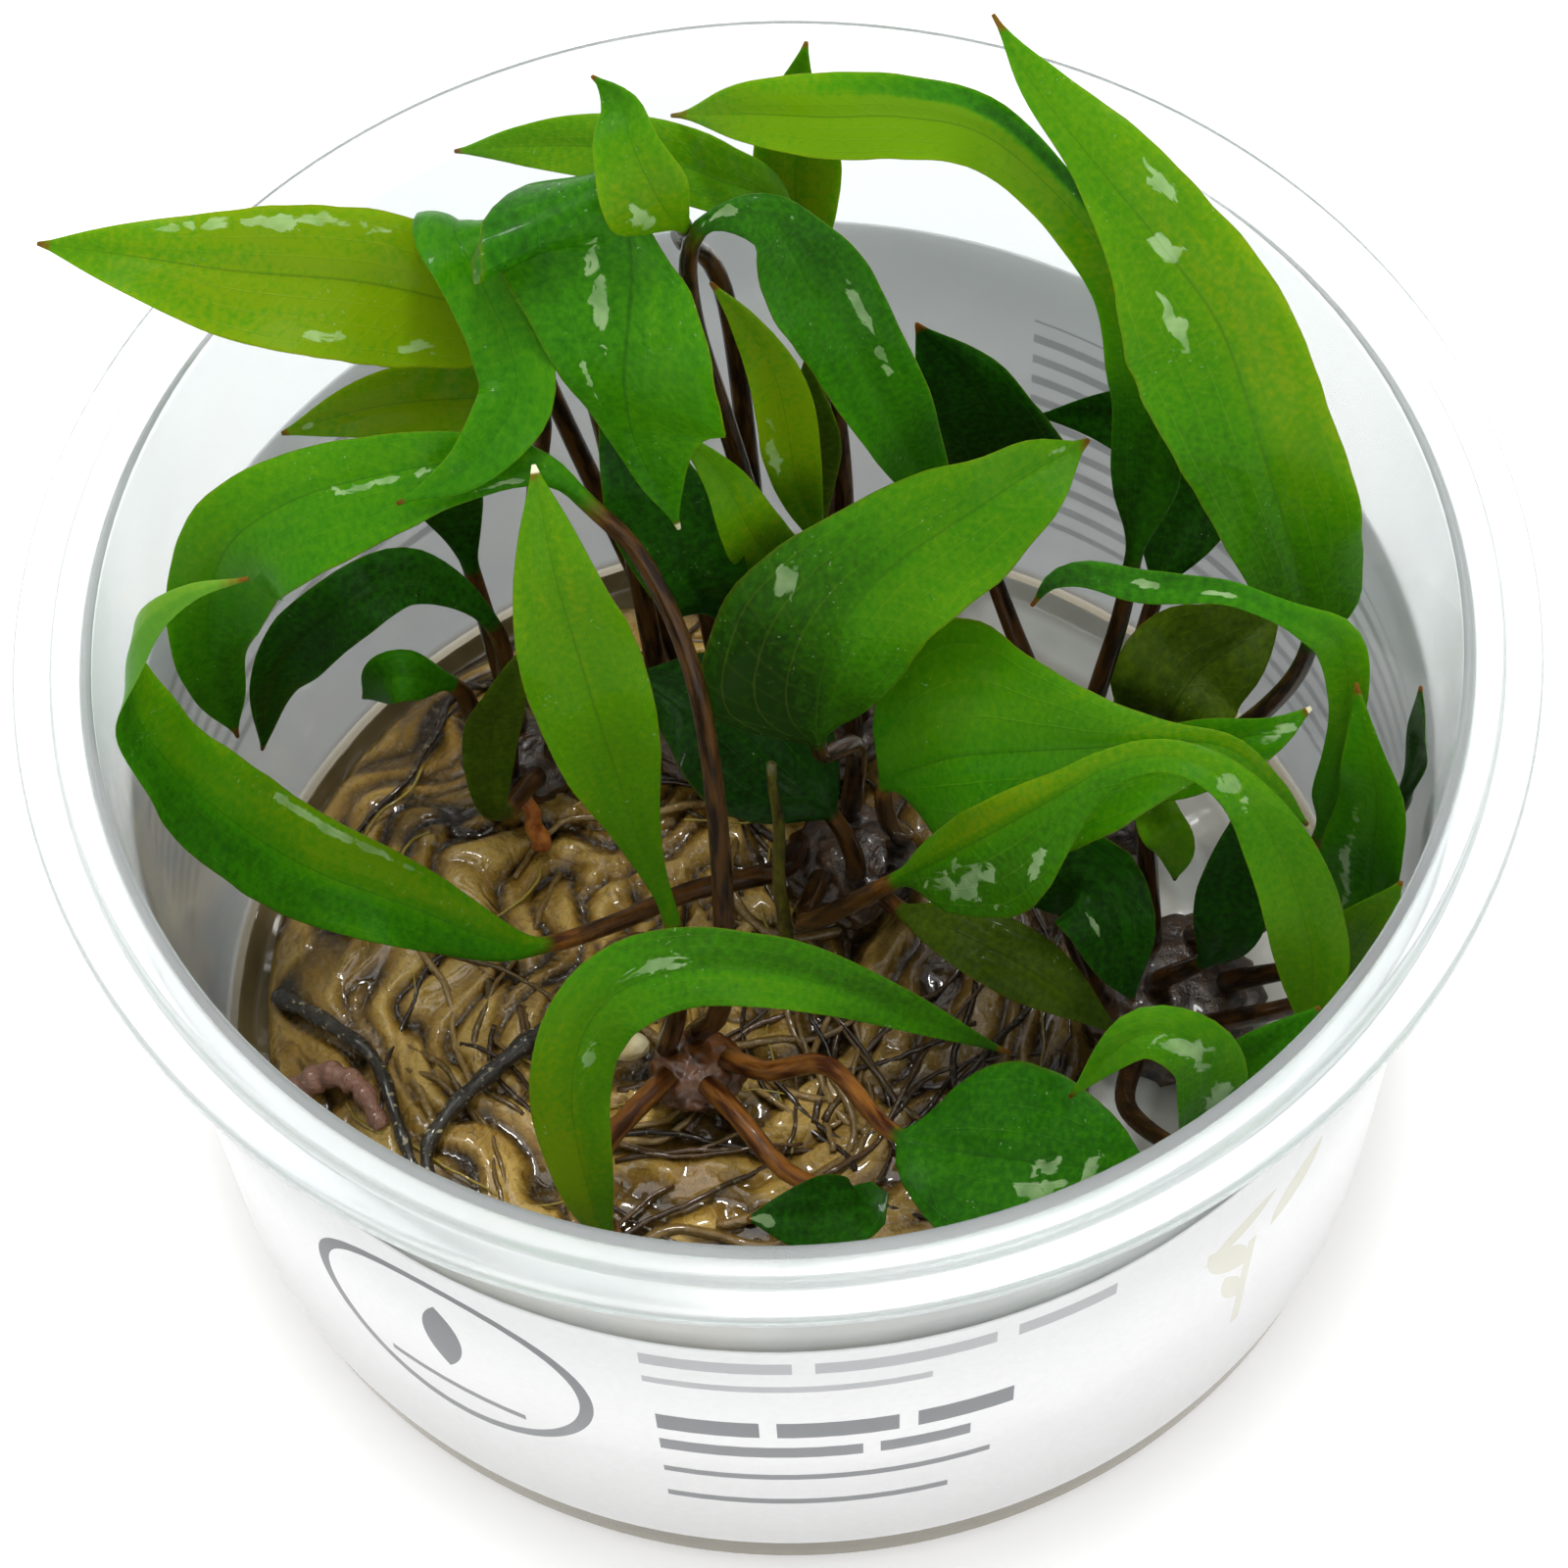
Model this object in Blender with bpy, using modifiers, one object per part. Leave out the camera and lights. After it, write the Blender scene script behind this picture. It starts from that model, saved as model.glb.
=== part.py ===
"""Cryptocoryne wendtii plantlets in a clear plastic growing cup.

The cup stands on z = 0 with its axis on z. The front of the cup looks towards -Y, and +X is to its right.
Lengths in the tables are in millimetres, and the objects are built in metres.
"""

import math
from typing import NamedTuple

import bmesh
import bpy
from mathutils import Vector

MM = 0.001
GAP = 0.3
SLIVER = 0.001

# Cup, a thin moulded tub with a stepped flange
CUP_STEPS = 36
CUP_HEIGHT = 57.0
FLANGE_RADIUS = 50.0
FLANGE_STEP_RADIUS = 47.3
FLANGE_STEP = 0.5
FLANGE_DEPTH = 1.6
FLANGE_THICKNESS = 0.9
FLANGE_CORNER = 0.5
FLANGE_LEAN = 0.3
MOUTH_RADIUS = 44.8
WALL_THICKNESS = 0.7
WALL_TOP_RADIUS = MOUTH_RADIUS + WALL_THICKNESS
WALL_FOOT_RADIUS = 39.4
FOOT_ROUND = 2.4
FOOT_CORNER = 0.3 * FOOT_ROUND
FLOOR_THICKNESS = 1.0

# Label, a paper band round the wall
LABEL_FOOT = 6.4
LABEL_TOP = 41.0
LABEL_THICKNESS = 0.25

# Growing gel on the floor of the cup
GEL_TOP = 6.4
GEL_RADIUS = 38.0
GEL_LEAN = 0.2
GEL_FOOT_ROUND = 1.9

# Matted roots on the gel: centre, half sizes and how far the lumps stand out
ROOTS_CENTRE = (-8.0, 1.5)
ROOTS_HALF = (29.0, 33.0)
ROOTS_FOOT = GEL_TOP + GAP
ROOTS_RISE = 5.0
ROOTS_LUMP = 0.6
ROOTS_WAVES = (0.31, 0.27)
ROOTS_WAVE_START = 0.5
ROOTS_EDGE = 0.4
ROOTS_AROUND = 24
ROOTS_RINGS = 5

# Ball segments round and from pole to pole
CROWN_SEGMENTS = (10, 6)
BUD_SEGMENTS = (8, 5)

# Leaves
LEAF_SIDES = 8
RING_SPACING = 5.0
STALK_RING_SPACING = 9.0
STALK_RADIUS = 0.8
STALK_END_RADIUS = 0.6
TIP_RADIUS = 0.12
BLADE_HALF_THICKNESS = 0.25
NECK_SHARE = 0.25
CURVE_SAMPLES = 12
STALK_SEAT = 0.5

# Colours as linear RGB
COLOURS = {
    "clear_plastic": ((0.80, 0.86, 0.87), 0.25),
    "label_paper": ((0.82, 0.82, 0.82), 0.55),
    "gel": ((0.46, 0.40, 0.27), 0.15),
    "roots": ((0.16, 0.10, 0.045), 0.35),
    "crown": ((0.34, 0.10, 0.035), 0.35),
    "bud": ((0.80, 0.70, 0.45), 0.30),
    "old_sheath": ((0.42, 0.13, 0.03), 0.45),
    "leaf_bright": ((0.14, 0.36, 0.01), 0.30),
    "leaf_green": ((0.04, 0.22, 0.01), 0.25),
    "leaf_dark": ((0.015, 0.09, 0.01), 0.25),
    "leaf_olive": ((0.08, 0.12, 0.01), 0.35),
}

# Crowns: centre x and y, half sizes, and what each one sits on
CROWNS = {
    "crown_back": ((-1.0, 19.0), (8.5, 5.0, 1.8), "roots"),
    "crown_middle": ((4.5, 8.0), (5.0, 4.5, 1.8), "roots"),
    "crown_front": ((-7.0, -8.0), (3.4, 3.2, 1.8), "roots"),
    "crown_left": ((-18.5, 18.0), (4.2, 3.6, 1.8), "roots"),
    "crown_right": ((26.0, -1.0), (6.5, 6.5, 1.8), "gel"),
    "crown_right_back": ((22.5, 15.5), (5.0, 4.5, 1.8), "gel"),
}

# Half sizes of the pale bud beside the front crown, and its middle from the crown's
BUD_HALF = (1.7, 1.1, 1.0)
BUD_REACH = (-4.8, 2.2)

# Dead stubs on the matted roots: foot, way to the tip, radii at foot and tip, thickness over width, colour
STUBS = {
    "old_sheath": ((-16.9, 12.4), (-1.7, 1.0, 3.6), (1.1, 0.6), 0.5, "old_sheath"),
    "cut_stalk": ((-0.6, 1.4), (0.1, 2.2, 22.5), (0.7, 0.45), 1.0, "leaf_olive"),
}
STUB_SIDES = 10

# The way most upper sides look: up and to the front
UP_FRONT = (0.0, -0.5, 0.85)


class Leaf(NamedTuple):
    """One leaf. Its midrib runs from foot, a place on its crown, through route to the tip."""

    crown: str
    foot: tuple
    route: list
    stalk: float  # share of the route that is stalk
    left: float | tuple  # greatest half width left of the midrib, or half widths along the blade
    right: float | tuple
    widest: float = 0.45  # where the blade is widest, from its foot to its tip
    looks: tuple = (UP_FRONT,)  # the way the upper side looks, from blade foot to tip
    fold: float = 8.0  # degrees that each half lifts from flat
    finish: str = "leaf_green"


LEAVES = {
    "leaf_far_left": Leaf(
        "crown_back", (-8.0, 20.0),
        [(-10, 23, 38), (-13, 24, 58), (-20, 23, 64), (-26, 23, 67), (-34, 23, 69), (-41, 24, 70),
         (-47, 26, 69)],
        0.52, 5.4, 4.8, 0.46, finish="leaf_bright"),
    "leaf_hanging_strip": Leaf(
        "crown_back", (-6.0, 22.0),
        [(-14, 27, 45), (-17, 27, 62), (-19.2, 25.2, 69.8), (-19.5, 22.9, 71.9), (-18.6, 20.9, 71.8),
         (-17.5, 18.9, 70.2), (-16.3, 16.4, 68.5), (-16, 13.6, 67), (-17.6, 11, 66), (-20, 8.9, 65),
         (-24.2, 8.1, 63)],
        0.62, (0, 2.4, 2.7, 2.5, 2.6, 2.3, 1.3, 0), (0, 2.4, 2.7, 2.5, 2.6, 2.3, 1.3, 0), 0.5,
        ((0.1, 0.8, 0.5), (0.0, -0.2, 1.0), (-0.1, -0.8, 0.5), (-0.2, -0.6, 0.8))),
    "leaf_folded_top": Leaf(
        "crown_back", (-3.5, 19.5),
        [(-7, 25, 48), (-9, 26, 64), (-10.5, 25.3, 73), (-9.8, 22.6, 77.6), (-8.3, 20, 76.6),
         (-8, 18.3, 73.8), (-8.5, 15.5, 71), (-9, 13.5, 67), (-8.5, 12.5, 62), (-6, 9.5, 56)],
        0.62, (0, 0.3, 0.3, 1.1, 4.2, 6.0, 6.9, 7.0, 4.4, 2.0, 0),
        (0, 4, 8.5, 10.5, 9.3, 7.0, 4.6, 2.8, 1.4, 0.8, 0),
        0.5, ((-0.1, 0.8, 0.5), (-0.4, -0.3, 1.0), (-0.3, -0.8, 0.5), (0.0, -0.9, 0.4)), 11.0, "leaf_dark"),
    "leaf_curled_tip": Leaf(
        "crown_back", (-0.5, 22.0),
        [(-2, 27, 55), (-4.8, 25, 67), (-4.5, 20.6, 74.8), (-5.6, 19.0, 79.2), (-6.7, 19.5, 82.3),
         (-7.6, 21.2, 84), (-8, 23.4, 84.7), (-8.8, 24, 85.9), (-9.8, 23.9, 87.4)],
        0.8, (0, 3.2, 3.5, 2.6, 1.4, 0), (0, 1.3, 2.3, 1.8, 1.1, 0),
        0.35, ((0.0, -0.9, 0.4),), 10.0, "leaf_bright"),
    "leaf_back_left": Leaf(
        "crown_back", (2.5, 21.5),
        [(4, 26, 40), (2, 27.5, 64), (-2.5, 27, 71), (-9, 29, 72), (-15, 31, 70), (-19.5, 33, 67)],
        0.62, 2.4, 2.5, finish="leaf_bright"),
    "leaf_back_upright": Leaf(
        "crown_back", (5.0, 20.5),
        [(5, 27, 40), (3, 29, 62), (3, 30, 69), (3, 30, 75), (4, 31, 80)],
        0.66, 3.0, 3.0, 0.4, ((0.0, -0.9, 0.4),), finish="leaf_bright"),
    "leaf_long_arch": Leaf(
        "crown_right_back", (19.5, 14.5),
        [(22, 14, 26), (24, 15.4, 36.1), (25.6, 18, 50.5), (24.6, 18.5, 64), (21.7, 20.2, 72.5),
         (15.5, 23.9, 78.3), (10, 24.6, 80.1), (5, 25, 80), (0, 27, 78), (-5, 30, 74)],
        0.3, (0, 2.0, 2.5, 2.4, 2.2, 2.1, 2.1, 2.5, 2.8, 1.8, 0),
        (0, 2.0, 2.5, 2.3, 1.8, 1.6, 2.0, 2.6, 2.9, 2.0, 0),
        0.5, ((-0.3, -0.9, 0.2), (-0.2, -0.7, 0.6), (0.0, -0.5, 0.85))),
    "leaf_tall_right": Leaf(
        "crown_right_back", (24.5, 14.0),
        [(33, 9, 30), (35.6, 5.5, 44.2), (34.6, 5.2, 53.3), (32.3, 7.7, 63.8), (29.9, 12.5, 71.2),
         (26.4, 15.6, 76.4), (22.5, 18.8, 80.9), (18.4, 23.8, 83.9), (16, 28.1, 86)],
        0.4, (0, 2.6, 3.6, 4.6, 5.6, 6.6, 6.0, 3.4, 1.6, 1.0, 0),
        (0, 3.7, 4.6, 5.1, 4.9, 4.6, 4.4, 4.0, 3.4, 1.9, 0),
        0.5, finish="leaf_bright"),
    "leaf_drooping_centre": Leaf(
        "crown_back", (2.5, 18.0),
        [(-2, 22.1, 44.8), (-4.3, 19.9, 65.7), (-3.7, 19.4, 75.9), (1, 19, 78), (4.2, 17.8, 72),
         (6.6, 16, 65.1), (9.1, 15.1, 56.9), (11.6, 15, 48)],
        0.62, (0, 1.0, 1.8, 2.8, 3.1, 3.1, 3.0, 2.8, 2.4, 1.6, 0),
        (0, 1.8, 3.4, 4.2, 3.9, 3.3, 3.0, 2.6, 2.2, 1.5, 0),
        0.5, ((0.2, -0.5, 0.85), (0.1, -0.6, 0.8))),
    "leaf_pale_veined": Leaf(
        "crown_back", (5.0, 17.5),
        [(4, 16, 38), (2, 15, 52), (1, 16.5, 62), (-1, 17.5, 68), (-3, 18, 72)],
        0.5, 2.0, 2.0, 0.5, ((0.1, -0.9, 0.4),), 16.0, "leaf_bright"),
    "leaf_pale_short": Leaf(
        "crown_back", (0.5, 16.5),
        [(3, 14, 36), (-1, 11, 52), (-3, 12, 58), (-6, 13, 63)],
        0.55, 2.2, 2.2, 0.4, ((0.2, -0.8, 0.5),), finish="leaf_bright"),
    "leaf_broad_centre": Leaf(
        "crown_middle", (4.5, 11.0),
        [(5, 9, 28), (2.6, 3.2, 37), (2.5, 3.3, 42.9), (3.2, 4, 47.3), (5.1, 5.5, 51.2), (8.4, 7.1, 54.5),
         (13.5, 8.7, 57.7), (17.5, 10.4, 59.4), (21.2, 12.1, 60.1)],
        0.44, (0, 6.8, 7.9, 7.7, 6.6, 5.2, 4.5, 3.8, 2.6, 1.8, 0),
        (0, 2.6, 4.0, 5.0, 5.2, 5.2, 5.2, 4.8, 3.9, 2.6, 0),
        0.5, finish="leaf_bright"),
    "leaf_broad_right": Leaf(
        "crown_middle", (8.0, 9.0),
        [(7, 4, 26), (6.9, 1.5, 35.3), (9.9, 0, 40.3), (13.1, -1.4, 43.5), (20.1, -4, 47.8), (24.5, -5.2, 50),
         (29, -6.2, 50.6), (32.1, -8.1, 48.3), (34.5, -9.3, 44.6)],
        0.36, (0, 5.0, 8.5, 8.8, 6.5, 4.2, 2.2, 1.0, 0.8, 0.6, 0),
        (0, 4.5, 6.8, 7.2, 7.0, 6.6, 5.0, 3.0, 1.2, 0.7, 0),
        0.5, fold=5.0),
    "leaf_arching_right": Leaf(
        "crown_middle", (2.2, 5.8),
        [(1, 0, 20), (7, -3.9, 31.5), (10.2, -6, 37.8), (13.4, -7.5, 43.3), (17.9, -8.4, 49.2),
         (21.1, -8.3, 52.2), (24.3, -8.5, 53.8), (27.4, -9.8, 54.2), (29.8, -11.6, 53.2),
         (31.7, -13.5, 50.2), (33.2, -15.6, 46.1), (34.1, -17.7, 40.7), (33.4, -19.7, 34.8)],
        0.28, (0, 1.4, 2.0, 1.9, 1.3, 1.0, 1.3, 2.2, 2.6, 2.2, 0),
        (0, 3.4, 5.6, 5.0, 2.0, 1.1, 1.4, 2.2, 2.6, 2.2, 0),
        0.5, fold=8.0, finish="leaf_bright"),
    "leaf_twisted_right": Leaf(
        "crown_right", (28.0, 3.0),
        [(33, -4, 26), (35.6, -4.5, 34.7), (36.8, -4.4, 45.8), (37.2, -3.7, 53.2), (36.4, -3.6, 58.6),
         (34.4, -3.5, 60.9), (31.5, -3.1, 62.9), (29.1, -2.3, 63.4), (25.9, -1.7, 63.2), (23.4, -1.2, 63),
         (20.3, -0.2, 63.1), (18.1, -0.1, 62.4), (16.7, -0.3, 59.8)],
        0.38, (0, 1.2, 1.1, 1.1, 1.4, 1.6, 0.8, 0.8, 1.1, 0.8, 0),
        (0, 1.2, 1.1, 1.1, 1.4, 1.6, 0.8, 0.8, 1.1, 0.8, 0),
        0.5, ((-0.3, -0.7, 0.7), (0.0, -0.6, 0.8)), 10.0),
    "leaf_mid_right": Leaf(
        "crown_right", (22.0, 3.0),
        [(19.5, 4, 28), (23, 0.5, 38), (27.5, -2, 44), (32, -3, 47), (35, -2, 48)],
        0.45, 1.7, 3.3, 0.6),
    "leaf_right_wall": Leaf(
        "crown_right", (30.0, -1.0),
        [(37.4, -8.3, 26.5), (38.6, -8, 36), (38.9, -8, 46), (37.5, -5.4, 56.3)],
        0.26, 3.4, 2.6, 0.5, ((-0.5, -0.7, 0.5),)),
    "leaf_right_dark_tip": Leaf(
        "crown_right", (30.0, 2.0),
        [(39.5, -2, 30), (42, -4.5, 46), (41.5, -7, 58)],
        0.6, 1.3, 1.3, 0.5, ((-0.9, -0.4, 0.2),), 12.0, "leaf_dark"),
    "leaf_right_small": Leaf(
        "crown_right", (27.3, -4.6),
        [(35, -12, 27), (37.5, -13.5, 37), (40, -14.5, 46)],
        0.5, 2.4, 2.4, 0.45, finish="leaf_bright"),
    "leaf_front_left": Leaf(
        "crown_middle", (0.8, 9.0),
        [(-0.5, 5.5, 18), (-7, 3.5, 19), (-12.5, 0, 21), (-18.5, -3, 24), (-25.5, -3, 30), (-33, -3, 37),
         (-39, -3, 47), (-42, -3, 57), (-41, -3, 66), (-37.5, -2.5, 70), (-33.5, -1.5, 70)],
        0.28, 3.7, 3.7, 0.4, (UP_FRONT, (0.5, -0.6, 0.6), (0.8, -0.5, 0.3), (-0.2, 0.6, -0.8)), 12.0),
    "leaf_left_wide": Leaf(
        "crown_front", (-7.0, -6.3),
        [(-5, -8, 24), (-4.5, -4, 38), (-5.5, 2, 49), (-8.4, 7.6, 55), (-11.8, 9.2, 60),
         (-14.3, 10.2, 62.8), (-18.1, 11.1, 63), (-23.9, 10.7, 63), (-31.2, 11.1, 59.5),
         (-36.2, 10.8, 54), (-38, 10, 44), (-37, 10, 32)],
        0.5, (0, 1.6, 3.0, 4.4, 5.4, 5.4, 4.6, 3.6, 2.6, 1.6, 0),
        (0, 1.2, 2.0, 2.6, 3.0, 3.2, 3.0, 2.8, 2.4, 1.6, 0),
        0.5, (UP_FRONT, (-0.2, -0.5, 0.85), (0.5, -0.8, 0.3))),
    "leaf_front_upright": Leaf(
        "crown_front", (-9.0, -7.0),
        [(-8, -8, 24), (-8, -7, 33), (-10, -5, 42), (-12, -3, 54), (-14, 1, 64), (-15, 6, 70)],
        0.3, 4.0, 4.0, 0.6, ((0.0, -0.8, 0.6),), finish="leaf_bright"),
    "leaf_front_loop": Leaf(
        "crown_front", (-9.0, -9.2),
        [(-14, -16, 17), (-13, -25, 22), (-14, -27, 30), (-15, -24, 40), (-13, -21, 46), (-8, -20, 49),
         (-1, -20, 48), (6, -20, 43), (14, -19, 34)],
        0.3, 3.0, 2.8, 0.4, ((0.1, -0.8, 0.5), UP_FRONT), finish="leaf_bright"),
    "leaf_front_round": Leaf(
        "crown_front", (-4.8, -8.3),
        [(-2, -11, 19), (2, -12.5, 22), (6, -19, 24), (11, -22, 26), (18, -25, 29), (23, -28, 33)],
        0.48, 6.5, 6.5, 0.4, ((0.0, -0.3, 0.95),), finish="leaf_dark"),
    "leaf_small_curl": Leaf(
        "crown_right", (23.5, -5.5),
        [(22, -17, 22), (25.5, -26, 32), (26.5, -27, 40), (26, -26.5, 46), (22, -26, 48), (17.5, -27, 42)],
        0.5, 2.4, 2.4, 0.45, ((0.4, -0.7, 0.5), UP_FRONT), finish="leaf_bright"),
    "leaf_dark_folded": Leaf(
        "crown_right", (21.0, -1.5),
        [(18.5, -2, 24), (19.8, -3.7, 29.3), (21.2, -6, 28.8), (21.9, -7.8, 26.4), (22.9, -9.1, 22.6)],
        0.45, 3.8, 3.2, 0.4, ((0.0, -0.6, 0.8),), 16.0, "leaf_dark"),
    "leaf_olive_low": Leaf(
        "crown_middle", (7.0, 5.8),
        [(7, 1, 20), (12, -3, 22), (17, -6, 21), (22, -9, 18)],
        0.3, 2.6, 2.6, 0.45, ((0.0, -0.2, 1.0),), 6.0, "leaf_olive"),
    "leaf_dark_centre": Leaf(
        "crown_middle", (4.6, 5.6),
        [(4.5, 4, 22), (3, 4.5, 27), (-1, 8, 29), (-5, 11, 31), (-10, 14, 31)],
        0.4, 5.4, 5.4, 0.42, ((0.1, -0.4, 0.9),), finish="leaf_dark"),
    "leaf_shaded_back": Leaf(
        "crown_back", (-3.5, 17.0),
        [(-3.5, 18, 30), (-4, 12, 42), (-4.5, 10.5, 47), (-7, 12, 54), (-9, 15, 60), (-11, 18, 64)],
        0.5, 3.8, 3.8, 0.45, ((0.0, -0.9, 0.4),), 10.0, "leaf_dark"),
    "leaf_small_left": Leaf(
        "crown_left", (-15.7, 18.0),
        [(-16, 22, 38), (-15, 22, 53), (-20, 20, 57), (-26, 19, 58), (-32, 18, 57)],
        0.64, 2.6, 2.6, 0.5, finish="leaf_bright"),
    "leaf_shaded_arc": Leaf(
        "crown_left", (-19.2, 16.0),
        [(-19, 17, 32), (-24, 17, 40), (-29, 15, 40), (-34, 15, 32), (-36, 15, 22)],
        0.35, 2.6, 2.6, 0.5, (UP_FRONT, (0.4, -0.7, 0.6)), finish="leaf_dark"),
    "leaf_tiny_curl": Leaf(
        "crown_left", (-21.0, 17.5),
        [(-22, 20, 20), (-25, 19, 24), (-27, 19, 24), (-29, 20, 20)],
        0.4, 1.8, 1.8, 0.5),
    "leaf_olive_strip": Leaf(
        "crown_left", (-17.3, 15.6),
        [(-20, 10, 20), (-20, 11, 28), (-18, 11, 36), (-16, 12, 40)],
        0.2, 1.9, 1.9, 0.5, ((0.0, -0.9, 0.3),), 6.0, "leaf_olive"),
    "leaf_olive_right": Leaf(
        "crown_right_back", (25.0, 16.5),
        [(27, 14, 22), (29, 16, 24), (32, 17, 26), (35, 20, 26)],
        0.3, 5.2, 4.0, 0.45, finish="leaf_olive"),
    "leaf_back_wall": Leaf(
        "crown_right_back", (20.0, 17.5),
        [(15, 28, 22), (15.4, 28.2, 32.2), (13.8, 28.5, 41.7), (10.6, 29.3, 49.2)],
        0.36, 4.8, 5.6, 0.5, ((-0.2, -0.9, 0.4),), 6.0, "leaf_dark"),
    "leaf_back_wall_right": Leaf(
        "crown_right_back", (23.0, 18.0),
        [(27, 24, 24), (29.2, 27.5, 29.4), (27.7, 30.5, 32.4), (23.8, 32.1, 32.2), (19, 33.2, 31.1)],
        0.4, 3.8, 3.8, 0.45, ((-0.5, -0.8, 0.3), (-0.2, -0.9, 0.4)), 6.0, "leaf_dark"),
    "leaf_brown_back": Leaf(
        "crown_back", (5.5, 19.0),
        [(3, 23, 36), (3, 24, 46), (3, 25, 52)],
        0.5, 2.2, 2.2, 0.5, ((0.0, -0.9, 0.4),), 6.0, "leaf_olive"),
    "leaf_dark_left_back": Leaf(
        "crown_left", (-18.5, 20.0),
        [(-21, 23, 34), (-22, 23, 44), (-21, 23, 52)],
        0.45, 2.4, 2.4, 0.5, ((0.0, -0.9, 0.4),), 6.0, "leaf_dark"),
    "leaf_small_right": Leaf(
        "crown_right", (25.0, 3.0),
        [(24.5, 4, 30), (25, -3, 36), (26, -4, 34), (26, -4, 30)],
        0.65, 1.6, 1.6, 0.5, ((0.0, -0.8, 0.5),), 6.0, "leaf_bright"),
    "leaf_shaded_right": Leaf(
        "crown_right", (25.0, -1.0),
        [(29, -6, 24), (30, -4, 30), (30, -3, 36)],
        0.4, 2.6, 2.6, 0.5, ((0.0, -0.8, 0.5),), 6.0, "leaf_dark"),
    "leaf_rim_strip": Leaf(
        "crown_right", (25.8, -6.0),
        [(28, -20, 32), (30, -23, 39), (34, -23, 45)],
        0.7, 1.6, 1.6, 0.4),
    "leaf_front_low": Leaf(
        "crown_front", (-6.3, -10.2),
        [(-4.5, -13, 17), (-1, -18, 17), (4, -22, 20), (0.5, -24, 22), (-4, -25, 24)],
        0.55, 2.6, 2.6, 0.5, ((0.0, -0.4, 0.9),), finish="leaf_dark"),
}


def clear_scene():
    for old in list(bpy.data.objects):
        bpy.data.objects.remove(old, do_unlink=True)


def material(name):
    """The Principled material of that name, made on first use."""
    if name in bpy.data.materials:
        return bpy.data.materials[name]
    colour, roughness = COLOURS[name]
    made = bpy.data.materials.new(name)
    made.use_nodes = True
    shader = made.node_tree.nodes["Principled BSDF"]
    shader.inputs["Base Color"].default_value = (*colour, 1.0)
    shader.inputs["Roughness"].default_value = roughness
    shader.inputs["Metallic"].default_value = 0.0
    return made


def add_object(name, shape, collection, finish):
    """Writes a bmesh held in millimetres into a new object in metres."""
    bmesh.ops.scale(shape, vec=(MM, MM, MM), verts=shape.verts)
    mesh = bpy.data.meshes.new(name)
    shape.to_mesh(mesh)
    shape.free()
    mesh.shade_smooth()
    mesh.materials.append(material(finish))
    made = bpy.data.objects.new(name, mesh)
    collection.objects.link(made)
    return made


def turned(name, profile, closed, collection, finish):
    """A profile of (radius, height) pairs turned about z."""
    shape = bmesh.new()
    corners = [shape.verts.new((radius, 0.0, height)) for radius, height in profile]
    for first, second in zip(corners, corners[1:]):
        shape.edges.new((first, second))
    if closed:
        shape.edges.new((corners[-1], corners[0]))
    made = add_object(name, shape, collection, finish)
    screw = made.modifiers.new("turn", "SCREW")
    screw.steps = CUP_STEPS
    screw.render_steps = CUP_STEPS
    screw.use_merge_vertices = True
    screw.merge_threshold = 0.00001
    return made


def wall_radius(height):
    """Outer radius of the cup's wall at a height."""
    share = height / CUP_HEIGHT
    return WALL_FOOT_RADIUS + (WALL_TOP_RADIUS - WALL_FOOT_RADIUS) * share


def cup_profile():
    """From the middle of the floor's upper side, up the inside, over the flange and down the outside."""
    under_flange = CUP_HEIGHT - FLANGE_THICKNESS
    inner_foot = wall_radius(FOOT_ROUND) - WALL_THICKNESS
    inside = [
        (0.0, FLOOR_THICKNESS),
        (inner_foot - FOOT_ROUND, FLOOR_THICKNESS),
        (inner_foot - FOOT_CORNER, FLOOR_THICKNESS + FOOT_CORNER),
        (inner_foot, FLOOR_THICKNESS + FOOT_ROUND),
        (MOUTH_RADIUS, CUP_HEIGHT),
    ]
    flange = [
        (FLANGE_STEP_RADIUS, CUP_HEIGHT),
        (FLANGE_STEP_RADIUS + FLANGE_LEAN, CUP_HEIGHT - FLANGE_STEP),
        (FLANGE_RADIUS - FLANGE_CORNER, CUP_HEIGHT - FLANGE_STEP),
        (FLANGE_RADIUS, CUP_HEIGHT - FLANGE_STEP - FLANGE_CORNER),
        (FLANGE_RADIUS, CUP_HEIGHT - FLANGE_DEPTH),
        (FLANGE_RADIUS - FLANGE_THICKNESS, CUP_HEIGHT - FLANGE_DEPTH),
        (FLANGE_STEP_RADIUS - FLANGE_CORNER, under_flange),
        (WALL_TOP_RADIUS, under_flange),
    ]
    outside = [
        (wall_radius(FOOT_ROUND), FOOT_ROUND),
        (wall_radius(FOOT_ROUND) - FOOT_CORNER, FOOT_CORNER),
        (wall_radius(FOOT_ROUND) - FOOT_ROUND, 0.0),
        (0.0, 0.0),
    ]
    return inside + flange + outside


def label_profile():
    """A closed band that follows the wall's slope, a gap away from it."""
    foot = wall_radius(LABEL_FOOT) + GAP
    top = wall_radius(LABEL_TOP) + GAP
    return [
        (foot, LABEL_FOOT),
        (top, LABEL_TOP),
        (top + LABEL_THICKNESS, LABEL_TOP),
        (foot + LABEL_THICKNESS, LABEL_FOOT),
    ]


def gel_profile():
    """A shallow disc that fills the floor of the cup."""
    floor = FLOOR_THICKNESS + GAP
    return [
        (0.0, GEL_TOP),
        (GEL_RADIUS, GEL_TOP),
        (GEL_RADIUS - GEL_LEAN, floor + FOOT_ROUND),
        (GEL_RADIUS - GEL_FOOT_ROUND, floor),
        (0.0, floor),
    ]


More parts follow.
